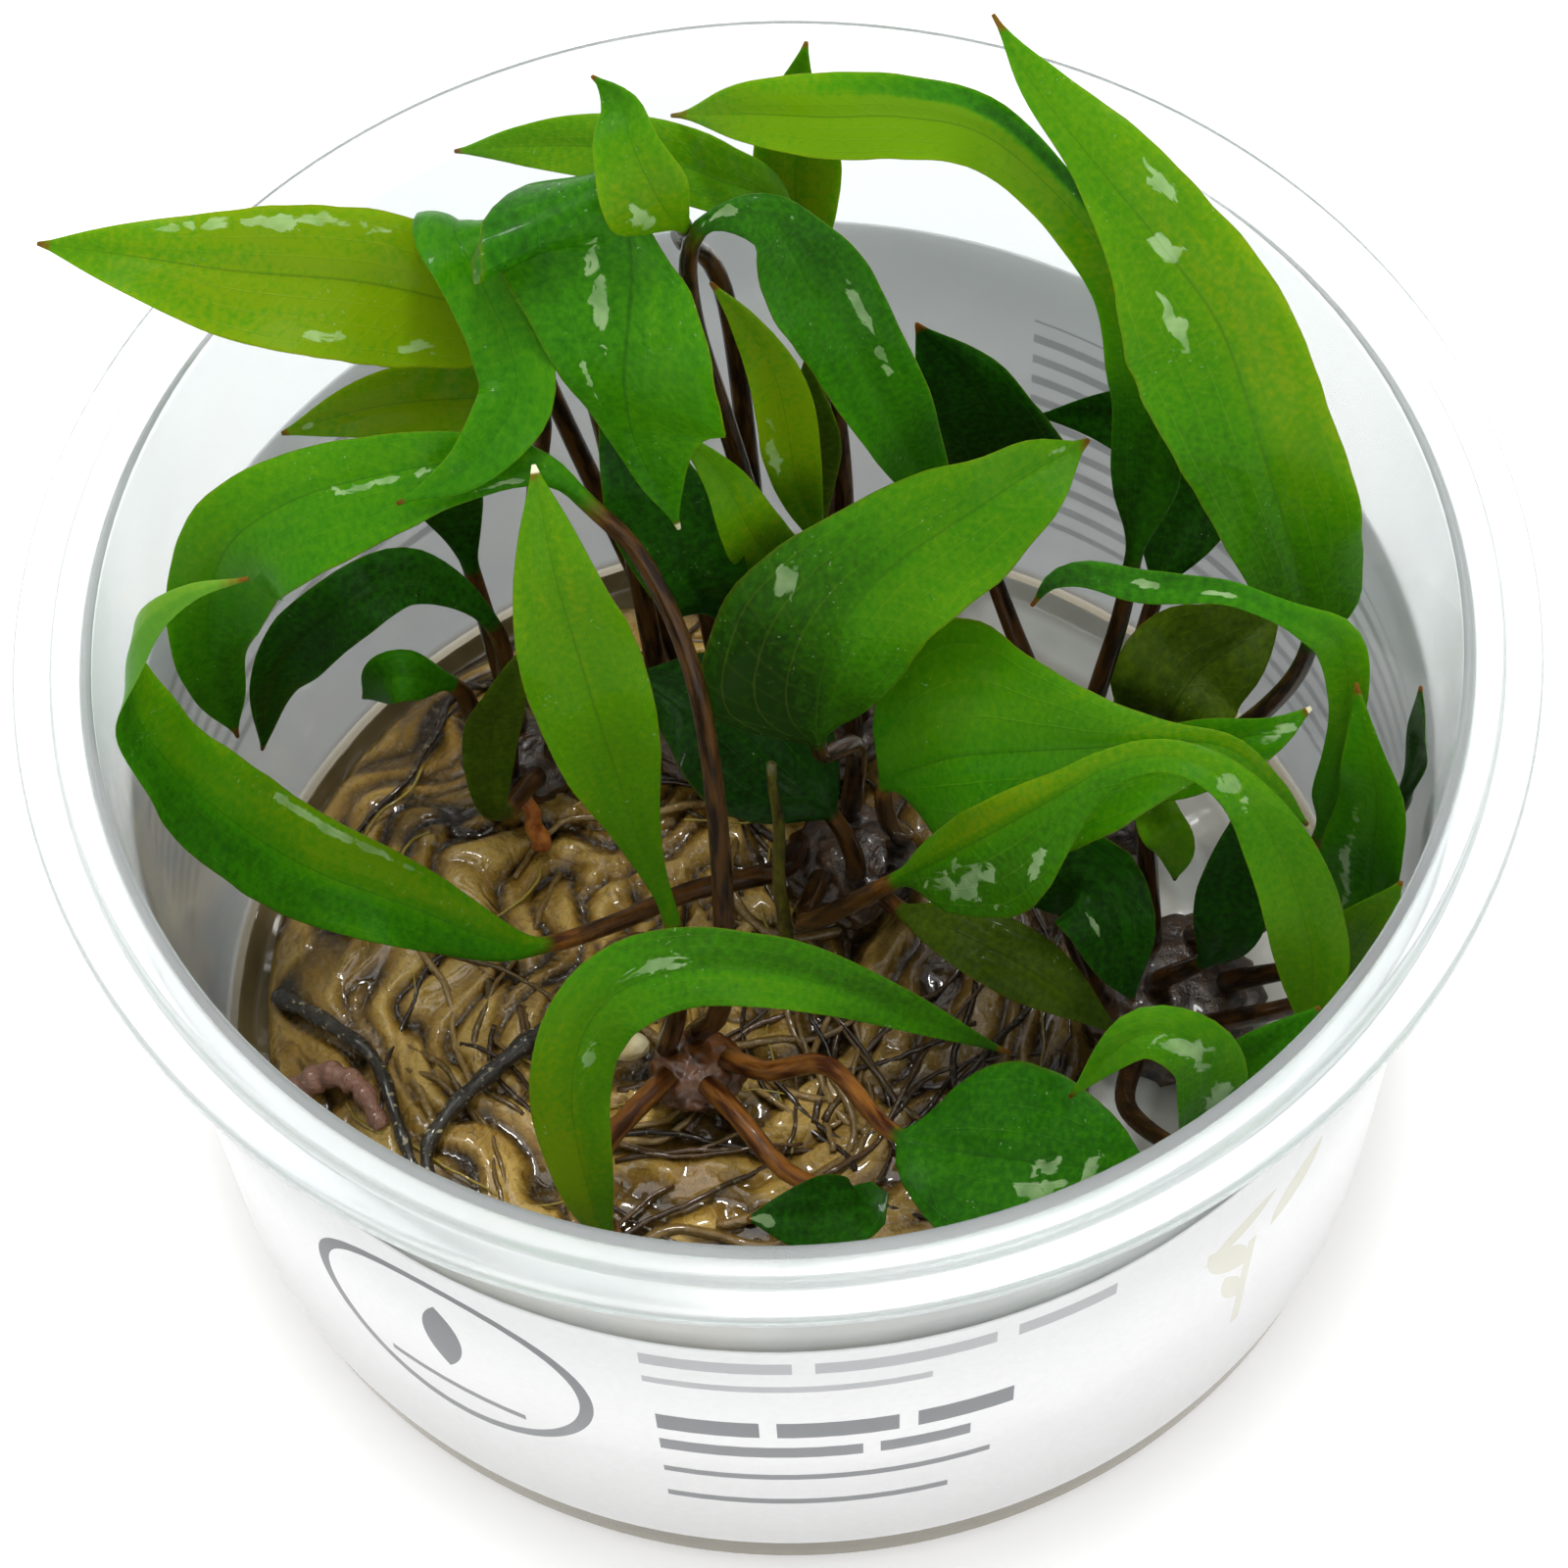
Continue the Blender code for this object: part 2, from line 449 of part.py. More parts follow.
def roots_top(x, y):
    """Height of the matted roots' upper side."""
    across = (x - ROOTS_CENTRE[0]) / ROOTS_HALF[0]
    along = (y - ROOTS_CENTRE[1]) / ROOTS_HALF[1]
    reach = min(1.0, math.hypot(across, along))
    dome = math.sqrt(1.0 - reach**4)
    lumps = ROOTS_LUMP * math.sin(ROOTS_WAVES[0] * x + ROOTS_WAVE_START) * math.cos(ROOTS_WAVES[1] * y)
    return ROOTS_FOOT + (ROOTS_RISE + lumps) * dome


def make_roots(collection):
    """A flattened ball with a flat underside and a lumpy top."""
    shape = bmesh.new()
    bmesh.ops.create_uvsphere(shape, u_segments=ROOTS_AROUND, v_segments=2 * ROOTS_RINGS, radius=1.0)
    for corner in shape.verts:
        x = ROOTS_CENTRE[0] + ROOTS_HALF[0] * corner.co.x
        y = ROOTS_CENTRE[1] + ROOTS_HALF[1] * corner.co.y
        if corner.co.z > SLIVER:
            corner.co = (x, y, roots_top(x, y))
        elif corner.co.z > -SLIVER:
            corner.co = (x, y, ROOTS_FOOT + ROOTS_EDGE)
        else:
            corner.co = (x, y, ROOTS_FOOT)
    return add_object("root_mass", shape, collection, "roots")


def crown_seat(name):
    """Height of a crown's middle, so that it rests just clear of what carries it."""
    (x, y), (half_x, half_y, half_z), carrier = CROWNS[name]
    if carrier == "gel":
        return GEL_TOP + GAP + half_z
    around = [(x + half_x * dx / 3, y + half_y * dy / 3) for dx in range(-3, 4) for dy in range(-3, 4)]
    return max(roots_top(*spot) for spot in around) + GAP + half_z


def make_crown(name, collection):
    """A short thick stem, wider than it is high."""
    (x, y), half, _ = CROWNS[name]
    shape = bmesh.new()
    bmesh.ops.create_uvsphere(shape, u_segments=CROWN_SEGMENTS[0], v_segments=CROWN_SEGMENTS[1], radius=1.0)
    bmesh.ops.scale(shape, vec=half, verts=shape.verts)
    bmesh.ops.translate(shape, vec=(x, y, crown_seat(name)), verts=shape.verts)
    return add_object(name, shape, collection, "crown")


def stalk_foot(crown, spot):
    """The point just above a crown where a stalk starts."""
    (x, y), (half_x, half_y, half_z), _ = CROWNS[crown]
    across = (spot[0] - x) / half_x
    along = (spot[1] - y) / half_y
    rise = half_z * math.sqrt(max(0.0, 1.0 - across**2 - along**2))
    return (*spot, crown_seat(crown) + rise + STALK_SEAT)


def smooth_step(before, start, end, after, t):
    """The place between start and end on a smooth curve through four points or numbers."""
    return 0.5 * (
        2 * start
        + (end - before) * t
        + (2 * before - 5 * start + 4 * end - after) * t**2
        + (3 * start - before - 3 * end + after) * t**3
    )


def smooth_route(points):
    """Positions along a smooth curve through the points, with the length run at each."""
    held = [Vector(point) for point in points]
    held = [2 * held[0] - held[1]] + held + [2 * held[-1] - held[-2]]
    path = []
    for before, start, end, after in zip(held, held[1:], held[2:], held[3:]):
        for step in range(CURVE_SAMPLES):
            path.append(smooth_step(before, start, end, after, step / CURVE_SAMPLES))
    path.append(held[-2])
    run = [0.0]
    for first, second in zip(path, path[1:]):
        run.append(run[-1] + (second - first).length)
    return path, run


def at_share(path, run, share):
    """Position and direction at a share of the whole length."""
    goal = share * run[-1]
    place = 0
    while place < len(run) - 2 and run[place + 1] < goal:
        place += 1
    t = (goal - run[place]) / (run[place + 1] - run[place])
    spot = path[place].lerp(path[place + 1], t)
    before = path[max(place - 3, 0)]
    after = path[min(place + 4, len(path) - 1)]
    return spot, (after - before).normalized()


def look_at_share(looks, share):
    """The way the upper side looks, blended along the blade."""
    if len(looks) == 1:
        return Vector(looks[0])
    place = min(max(share, 0.0), 0.9999) * (len(looks) - 1)
    index = int(place)
    return Vector(looks[index]).lerp(Vector(looks[index + 1]), place - index)


def half_width(leaf, along, on_left):
    """Half width of the blade at a share of its length, in millimetres."""
    if along <= 0.0 or along >= 1.0:
        return 0.0
    widths = leaf.left if on_left else leaf.right
    if isinstance(widths, tuple):
        place = along * (len(widths) - 1)
        index = int(place)
        four = [widths[min(max(index + step, 0), len(widths) - 1)] for step in (-1, 0, 1, 2)]
        return max(0.0, smooth_step(*four, place - index))
    power = math.log(0.5) / math.log(leaf.widest)
    return widths * math.sin(math.pi * along**power)


def leaf_stations(leaf, length):
    """Shares of the route at which the leaf has a ring, closer together along the blade."""
    stalk_rings = max(2, round(leaf.stalk * length / STALK_RING_SPACING))
    blade_rings = max(5, round((1.0 - leaf.stalk) * length / RING_SPACING))
    if isinstance(leaf.left, tuple):
        blade_rings = len(leaf.left) - 1
    stalk = [leaf.stalk * step / stalk_rings for step in range(stalk_rings)]
    blade = [leaf.stalk + (1.0 - leaf.stalk) * step / blade_rings for step in range(blade_rings + 1)]
    return stalk + blade


def make_leaf(name, collection):
    """Stalk and blade in one: an eight-sided tube bent along the route and flattened into the blade."""
    leaf = LEAVES[name]
    path, run = smooth_route([stalk_foot(leaf.crown, leaf.foot)] + leaf.route)
    stations = leaf_stations(leaf, run[-1])
    spans = len(stations) - 1
    shape = bmesh.new()
    bmesh.ops.create_cone(shape, cap_ends=True, segments=LEAF_SIDES, radius1=1.0, radius2=1.0, depth=1.0)
    sides = [edge for edge in shape.edges if abs(edge.verts[0].co.z - edge.verts[1].co.z) > 0.5]
    bmesh.ops.subdivide_edges(shape, edges=sides, cuts=spans - 1, use_grid_fill=True)
    for corner in shape.verts:
        share = stations[round((corner.co.z + 0.5) * spans)]
        along = (share - leaf.stalk) / (1.0 - leaf.stalk)
        centre, ahead = at_share(path, run, share)
        left = look_at_share(leaf.looks, along).cross(ahead).normalized()
        up = ahead.cross(left)
        if along < 0.0:
            radius = STALK_RADIUS + (STALK_END_RADIUS - STALK_RADIUS) * share / leaf.stalk
            thick = radius
        else:
            radius = STALK_END_RADIUS + (TIP_RADIUS - STALK_END_RADIUS) * along
            neck = max(0.0, 1.0 - along / NECK_SHARE) ** 2
            thick = BLADE_HALF_THICKNESS * (1.0 - 0.5 * along)
            thick += (STALK_END_RADIUS - BLADE_HALF_THICKNESS) * neck
        spread = half_width(leaf, along, corner.co.x > 0.0)
        width = math.hypot(radius, spread)
        lift = abs(corner.co.x) * spread * math.sin(math.radians(leaf.fold))
        corner.co = centre + left * (corner.co.x * width) + up * (corner.co.y * thick + lift)
    return add_object(name, shape, collection, leaf.finish)


def make_bud(collection):
    """The pale bud beside the front crown."""
    x, y = CROWNS["crown_front"][0]
    shape = bmesh.new()
    bmesh.ops.create_uvsphere(shape, u_segments=BUD_SEGMENTS[0], v_segments=BUD_SEGMENTS[1], radius=1.0)
    bmesh.ops.scale(shape, vec=BUD_HALF, verts=shape.verts)
    middle = (x + BUD_REACH[0], y + BUD_REACH[1], crown_seat("crown_front"))
    bmesh.ops.translate(shape, vec=middle, verts=shape.verts)
    return add_object("white_bud", shape, collection, "bud")


def make_stub(name, collection):
    """A tapering piece of dead stalk or sheath that stands on the matted roots."""
    foot, rise, radii, flatness, finish = STUBS[name]
    rise = Vector(rise)
    seat = Vector((*foot, roots_top(*foot) + GAP + radii[0]))
    shape = bmesh.new()
    bmesh.ops.create_cone(
        shape, cap_ends=True, segments=STUB_SIDES, radius1=radii[0], radius2=radii[1], depth=rise.length)
    bmesh.ops.scale(shape, vec=(1.0, flatness, 1.0), verts=shape.verts)
    bmesh.ops.rotate(shape, matrix=rise.to_track_quat("Z", "Y").to_matrix(), verts=shape.verts)
    bmesh.ops.translate(shape, vec=seat + rise / 2, verts=shape.verts)
    return add_object(name, shape, collection, finish)


def main():
    clear_scene()
    parts = bpy.data.collections.new("cryptocoryne_wendtii_cup")
    bpy.context.scene.collection.children.link(parts)
    turned("cup", cup_profile(), False, parts, "clear_plastic")
    turned("label", label_profile(), True, parts, "label_paper")
    turned("nutrient_gel", gel_profile(), False, parts, "gel")
    make_roots(parts)
    for name in CROWNS:
        make_crown(name, parts)
    make_bud(parts)
    for name in STUBS:
        make_stub(name, parts)
    for name in LEAVES:
        make_leaf(name, parts)


main()
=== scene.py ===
# %% [markdown]
# # Cryptocoryne wendtii plantlets in a clear growing cup
#
# The real thing is a pot of young water plants as a laboratory sells them. Six small tufts stand on a mat
# of roots and growing gel, in a thin plastic cup with a paper band. The leaves are wet, thin and a little
# see-through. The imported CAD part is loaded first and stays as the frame, so every finer piece made here
# goes where a CAD solid already is. Lengths in the tables are in millimetres, and Blender works in metres.

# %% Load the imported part
import math
import random
from typing import NamedTuple

import bmesh
import bpy
from mathutils import Matrix, Vector, noise


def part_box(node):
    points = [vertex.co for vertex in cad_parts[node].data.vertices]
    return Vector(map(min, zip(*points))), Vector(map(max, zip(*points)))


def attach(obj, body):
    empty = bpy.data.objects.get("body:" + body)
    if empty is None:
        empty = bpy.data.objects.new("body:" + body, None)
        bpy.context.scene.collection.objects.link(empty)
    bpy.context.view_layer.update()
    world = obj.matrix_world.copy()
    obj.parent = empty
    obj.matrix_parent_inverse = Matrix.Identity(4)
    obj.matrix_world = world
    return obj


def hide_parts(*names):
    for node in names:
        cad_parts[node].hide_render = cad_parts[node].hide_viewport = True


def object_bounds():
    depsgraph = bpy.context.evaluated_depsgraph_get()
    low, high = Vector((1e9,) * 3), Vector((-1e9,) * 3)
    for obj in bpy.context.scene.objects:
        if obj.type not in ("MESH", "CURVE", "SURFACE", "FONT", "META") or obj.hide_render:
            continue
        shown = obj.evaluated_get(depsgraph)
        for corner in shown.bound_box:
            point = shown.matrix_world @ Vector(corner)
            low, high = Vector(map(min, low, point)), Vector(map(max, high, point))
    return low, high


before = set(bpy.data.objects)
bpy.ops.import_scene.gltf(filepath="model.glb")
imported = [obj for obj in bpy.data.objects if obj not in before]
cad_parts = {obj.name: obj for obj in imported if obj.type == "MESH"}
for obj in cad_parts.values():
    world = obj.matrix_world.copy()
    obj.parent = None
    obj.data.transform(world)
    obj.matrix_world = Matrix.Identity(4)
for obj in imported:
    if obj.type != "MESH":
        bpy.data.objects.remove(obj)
MM = 0.001
cad_low, cad_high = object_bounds()
box_in_mm = [round(value / MM, 1) for value in (*cad_low, *cad_high)]
print("CAD nodes:", len(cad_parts), "box in mm:", box_in_mm)


# %% [markdown]
# ## Camera
#
# The photograph looks down on the cup from the front with a long lens. The oval of the rim gives the height
# of the camera above the horizon, and how much the far rim shrinks gives its distance. The camera is also
# turned a little about its own axes, because the cup isn't quite level or centred in the picture.

# %% Put the camera where the photograph was taken
CUP_HEIGHT = 57.0
CAMERA_DISTANCE = 600.0
CAMERA_ELEVATION = 58.03
CAMERA_PITCH = -0.91
CAMERA_ROLL = -3.05
SENSOR_WIDTH = 36.0
PHOTO_WIDTH = 1600.0
FOCAL_LENGTH_IN_PIXELS = 9384.0


def place_camera():
    """A camera that looks at the middle of the rim, then is pitched and rolled."""
    elevation = math.radians(CAMERA_ELEVATION)
    towards_camera = Vector((0.0, -math.cos(elevation), math.sin(elevation)))
    place = towards_camera * CAMERA_DISTANCE + Vector((0.0, 0.0, CUP_HEIGHT))
    level = Matrix.Rotation(math.radians(90.0 - CAMERA_ELEVATION), 3, "X")
    turn = level @ Matrix.Rotation(math.radians(CAMERA_PITCH), 3, "X")
    turn = turn @ Matrix.Rotation(math.radians(CAMERA_ROLL), 3, "Z")
    lens = bpy.data.cameras.new("photo_camera")
    lens.sensor_width = SENSOR_WIDTH
    lens.lens = FOCAL_LENGTH_IN_PIXELS * SENSOR_WIDTH / PHOTO_WIDTH
    lens.clip_start = 0.01
    camera = bpy.data.objects.new("photo_camera", lens)
    camera.matrix_world = Matrix.Translation(place * MM) @ turn.to_4x4()
    bpy.context.scene.collection.objects.link(camera)
    bpy.context.scene.camera = camera
    return camera


camera = place_camera()
camera_place = [round(value, 4) for value in camera.location]
print("camera at", camera_place, "with a lens of", round(camera.data.lens, 1), "mm")


# %% [markdown]
# ## Colours and nodes
#
# Colours are picked as sRGB hex codes, the way a picture editor shows them, and shaders work with linear
# light. One function turns the first into the second. Every material starts from a plain Principled shader
# and gets a few more nodes, so a small class, the recipe, holds the material while it is made and adds
# each kind of node in one short call.

# %% Helpers for colours and shader nodes
def colour(code):
    """An sRGB hex code as linear red, green, blue and a full alpha."""
    parts = [int(code[place:place + 2], 16) / 255.0 for place in (1, 3, 5)]
    return (*[part / 12.92 if part <= 0.04045 else ((part + 0.055) / 1.055) ** 2.4 for part in parts], 1.0)


RGBA_FACTOR, RGBA_FIRST, RGBA_SECOND, RGBA_RESULT = 0, 6, 7, 2


class Recipe:
    """A Principled material in the making, and short ways to add the nodes that its finish needs."""

    def __init__(self, name):
        self.finish = bpy.data.materials.new(name)
        self.finish.use_nodes = True
        self.tree = self.finish.node_tree

    def fill(self, node, inputs):
        """Sets a node's inputs. Each is a value, or another node's output to link."""
        for name, value in inputs.items():
            if isinstance(value, bpy.types.NodeSocket):
                self.tree.links.new(value, node.inputs[name])
            else:
                node.inputs[name].default_value = value

    def add(self, kind, inputs=None, **settings):
        """Adds one node."""
        made = self.tree.nodes.new("ShaderNode" + kind)
        for name, value in settings.items():
            setattr(made, name, value)
        self.fill(made, inputs or {})
        return made

    def place(self):
        """The place on the piece, in metres."""
        return self.add("TexCoord").outputs["Object"]

    def attribute(self, name, output="Vector"):
        """What the mesh holds at each corner under a name."""
        return self.add("Attribute", attribute_name=name).outputs[output]

    def split(self, vector):
        """The three numbers of a vector."""
        return self.add("SeparateXYZ", {0: vector}).outputs

    def number(self, operation, *values):
        """One step of arithmetic."""
        return self.add("Math", dict(enumerate(values)), operation=operation).outputs[0]

    def ramp(self, value, start, end, low=0.0, high=1.0, kind="LINEAR"):
        """Goes from low to high while the value goes from start to end."""
        return self.add("MapRange", {
            "Value": value, "From Min": start, "From Max": end, "To Min": low, "To Max": high},
            interpolation_type=kind).outputs["Result"]

    def cloud(self, place, size, detail=2.0, **more):
        """Noise between 0 and 1 with features of a size in millimetres, for a place in metres."""
        return self.add("TexNoise", {
            "Vector": place, "Scale": 1000.0 / size, "Detail": detail, **more}).outputs["Fac"]

    def blend(self, factor, first, second):
        """Mixes two colours, each a hex code or another node's output."""
        first, second = (colour(tone) if isinstance(tone, str) else tone for tone in (first, second))
        made = self.add(
            "Mix", {RGBA_FACTOR: factor, RGBA_FIRST: first, RGBA_SECOND: second}, data_type="RGBA")
        return made.outputs[RGBA_RESULT]

    def bump(self, height, strength, depth):
        """A relief of the surface, with its depth in millimetres."""
        made = self.add("Bump", {"Height": height, "Strength": strength, "Distance": depth * MM})
        return made.outputs["Normal"]

    def finished(self, inputs):
        """The material, once its shader's own inputs are filled."""
        self.fill(self.tree.nodes["Principled BSDF"], inputs)
        return self.finish


print("mid leaf green is", [round(value, 3) for value in colour("#4E9410")])


# %% [markdown]
# ## Studio
#
# The photograph has a pure white background and light so even that hardly a shadow is seen. A white world
# gives that evenness. A softbox above adds a little direction, and a small strobe beside it makes the white
# glints on everything wet. A weak softbox in front keeps the paper band bright. The floor is a plain pale
# sheet that glows a little, like the light table under a product photograph, which takes the shadow away.

# %% Light the studio and lay its floor
WORLD_STRENGTH = 0.97
WHITE = (1.0, 1.0, 1.0, 1.0)
FLOOR_HALF = 3.0
FLOOR_MOTTLE = 50.0
TABLE_GLOW = 0.24


def add_softbox(name, place, size, watts):
    """A square area light in metres that faces the cup."""
    lamp = bpy.data.lights.new(name, "AREA")
    lamp.size = size
    lamp.energy = watts
    holder = bpy.data.objects.new(name, lamp)
    place = Vector(place)
    facing = (Vector((0.0, 0.0, 0.04)) - place).to_track_quat("-Z", "Y")
    holder.matrix_world = Matrix.Translation(place) @ facing.to_matrix().to_4x4()
    bpy.context.scene.collection.objects.link(holder)
    return holder


def floor_sheet():
    """A matt white sheet with a very faint mottle, lit softly from below."""
    recipe = Recipe("matt_light_table_sheet")
    mottle = recipe.cloud(recipe.place(), FLOOR_MOTTLE)
    finish = recipe.finished({
        "Base Color": recipe.blend(mottle, "#F8F8F8", "#FCFCFC"),
        "Roughness": 0.9,
        "Emission Color": WHITE,
        "Emission Strength": TABLE_GLOW,
    })
    shape = bmesh.new()
    bmesh.ops.create_grid(shape, x_segments=2, y_segments=2, size=FLOOR_HALF)
    mesh = bpy.data.meshes.new("studio_floor")
    shape.to_mesh(mesh)
    shape.free()
    mesh.materials.append(finish)
    floor = bpy.data.objects.new("studio_floor", mesh)
    bpy.context.scene.collection.objects.link(floor)


world = bpy.data.worlds.new("white_studio")
world.use_nodes = True
background = world.node_tree.nodes["Background"]
background.inputs["Color"].default_value = WHITE
background.inputs["Strength"].default_value = WORLD_STRENGTH
bpy.context.scene.world = world
bpy.context.scene.view_settings.view_transform = "Standard"
add_softbox("softbox_above", (-0.10, 0.16, 0.75), 0.45, 1.3)
add_softbox("strobe_above", (0.05, 0.22, 0.72), 0.09, 1.6)
add_softbox("softbox_front", (0.15, -0.75, 0.45), 0.50, 0.7)
floor_sheet()
print("world", WORLD_STRENGTH, "and", len(bpy.data.lights), "softboxes")


# %% [markdown]
# ## Finishing a piece
#
# Every finer piece ends the same way. Its bmesh, held in millimetres, is scaled to metres and becomes an
# object at the origin. It rides on the part's one body, takes the finish it is given, and stands for the
# CAD solids that it replaces.

# %% A helper that turns a bmesh into a finished piece
def finish_piece(name, shape, material, slot, *nodes):
    """Writes a bmesh in millimetres to an object that replaces the CAD nodes named."""
    bmesh.ops.scale(shape, vec=(MM, MM, MM), verts=shape.verts)
    mesh = bpy.data.meshes.new(name)
    shape.to_mesh(mesh)
    shape.free()
    mesh.shade_smooth()
    mesh.materials.append(material)
    piece = bpy.data.objects.new(name, mesh)
    bpy.context.scene.collection.objects.link(piece)
    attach(piece, "root")
    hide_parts(*nodes)
    return piece


def triangles(piece):
    """How many triangles a piece has."""
    return sum(len(face.vertices) - 2 for face in piece.data.polygons)


# %% [markdown]
# ## Clear plastic
#
# The cup is polypropylene, injection moulded with a wall thinner than a millimetre. It is clear enough to
# read through but milky, most of all where the flange is seen edge on, where it turns a pale blue green.
# Light goes through it by plain transmission, and a share of the light scatters from a whitish base, which
# makes the milk. Moulding leaves the surface slightly uneven, so a soft bump breaks up the shine. Below the
# line of the gel the wall takes the tan of the gel that wets it from behind.

# %% The cup's material
PLASTIC_RIPPLE = 9.0
GEL_LINE = 7.8
GEL_LINE_BLUR = 1.0
GEL_LINE_DEPTH = 0.8


def clear_polypropylene():
    recipe = Recipe("moulded_clear_polypropylene")
    place = recipe.place()
    haze = recipe.cloud(place, PLASTIC_RIPPLE, 1.0)
    by_gel = recipe.ramp(
        recipe.split(place)[2], GEL_LINE * MM, (GEL_LINE - GEL_LINE_BLUR) * MM, 0.0, GEL_LINE_DEPTH)
    return recipe.finished({
        "Base Color": recipe.blend(by_gel, recipe.blend(haze, "#EFF5F5", "#F7FBFB"), "#948562"),
        "Roughness": recipe.ramp(haze, 0.3, 0.7, 0.10, 0.18),
        "Normal": recipe.bump(haze, 0.08, 0.3),
        "Transmission Weight": 0.82,
        "IOR": 1.49,
    })


plastic = clear_polypropylene()
print("material", plastic.name)


# %% [markdown]
# ## Cup
#
# A turned form is drawn once as a half outline and spun round its axis. The outline runs from the middle of
# the floor up the inside, over the two steps of the flange and down the outside. Moulded corners are never
# sharp, so each corner of the outline is rounded before the spin.

# %% Spin the cup
CUP_TURNS = 160
FLANGE_RADIUS = 50.0
FLANGE_STEP_RADIUS = 47.3
FLANGE_STEP = 0.5
STEP_DRAFT = 0.3
FLANGE_DEPTH = 1.6
FLANGE_THICKNESS = 0.9
MOUTH_RADIUS = 44.8
WALL_THICKNESS = 0.7
WALL_TOP_RADIUS = MOUTH_RADIUS + WALL_THICKNESS
WALL_FOOT_RADIUS = 39.4
FOOT_ROUND = 2.4
FLOOR_THICKNESS = 1.0
CORNER_ROUND = 0.35


def wall_radius(height):
    """Outer radius of the cup's wall at a height."""
    return WALL_FOOT_RADIUS + (WALL_TOP_RADIUS - WALL_FOOT_RADIUS) * height / CUP_HEIGHT


def rounded(outline, radius, steps=4):
    """The outline with each inner corner swapped for a short curve."""
    held = [Vector((*point, 0.0)) for point in outline]
    smooth = [held[0]]
    for before, corner, after in zip(held, held[1:], held[2:]):
        start = corner + (before - corner).normalized() * min(radius, (before - corner).length * 0.45)
        end = corner + (after - corner).normalized() * min(radius, (after - corner).length * 0.45)
        for step in range(steps + 1):
            t = step / steps
            smooth.append(start.lerp(corner, t).lerp(corner.lerp(end, t), t))
    smooth.append(held[-1])
    return [(point.x, point.y) for point in smooth]


def spun(outline, closed=False):
    """A bmesh of radius and height pairs spun a full turn about z, with its seam and its poles merged."""
    shape = bmesh.new()
    corners = [shape.verts.new((radius, 0.0, height)) for radius, height in outline]
    for first, second in zip(corners, corners[1:] + corners[:1] if closed else corners[1:]):
        shape.edges.new((first, second))
    bmesh.ops.spin(
        shape, geom=shape.verts[:] + shape.edges[:], cent=(0, 0, 0), axis=(0, 0, 1), dvec=(0, 0, 0),
        angle=2.0 * math.pi, steps=CUP_TURNS, use_merge=True)
    bmesh.ops.remove_doubles(shape, verts=shape.verts, dist=0.001)
    bmesh.ops.recalc_face_normals(shape, faces=shape.faces)
    return shape


def cup_outline():
    """Half of the cup cut through its axis."""
    foot = wall_radius(FOOT_ROUND)
    return [
        (0.0, FLOOR_THICKNESS),
        (foot - WALL_THICKNESS, FLOOR_THICKNESS),
        (MOUTH_RADIUS, CUP_HEIGHT),
        (FLANGE_STEP_RADIUS, CUP_HEIGHT),
        (FLANGE_STEP_RADIUS + STEP_DRAFT, CUP_HEIGHT - FLANGE_STEP),
        (FLANGE_RADIUS, CUP_HEIGHT - FLANGE_STEP),
        (FLANGE_RADIUS, CUP_HEIGHT - FLANGE_DEPTH),
        (FLANGE_RADIUS - FLANGE_THICKNESS, CUP_HEIGHT - FLANGE_DEPTH),
        (FLANGE_STEP_RADIUS - FLANGE_STEP, CUP_HEIGHT - FLANGE_THICKNESS),
        (WALL_TOP_RADIUS, CUP_HEIGHT - FLANGE_THICKNESS),
        (foot, FOOT_ROUND),
        (foot - FOOT_ROUND, 0.0),
        (0.0, 0.0),
    ]


cup_shape = spun(rounded(cup_outline(), CORNER_ROUND))
cup = finish_piece("moulded_cup", cup_shape, plastic, "clear_plastic", "cup")
print("cup:", triangles(cup), "triangles")


# %% [markdown]
# ## Paper band
#
# A thin paper label goes once round the wall, and light comes through it. Print is only colour, so it lives
# in the material. The band is read as a flat sheet by two numbers, the distance round the cup and the
# height, and each printed mark is a patch where both lie close to its middle. The marks are plain bars, rows
# of lines, a ring and seed leaves: the cup carries no words.

# %% Print and paper
LABEL_FOOT = 6.4
LABEL_TOP = 41.0
LABEL_THICKNESS = 0.25
GAP = 0.3
LABEL_RADIUS = 44.0
PAPER_FIBRE = 0.6
PRINT_PITCH = 2.2


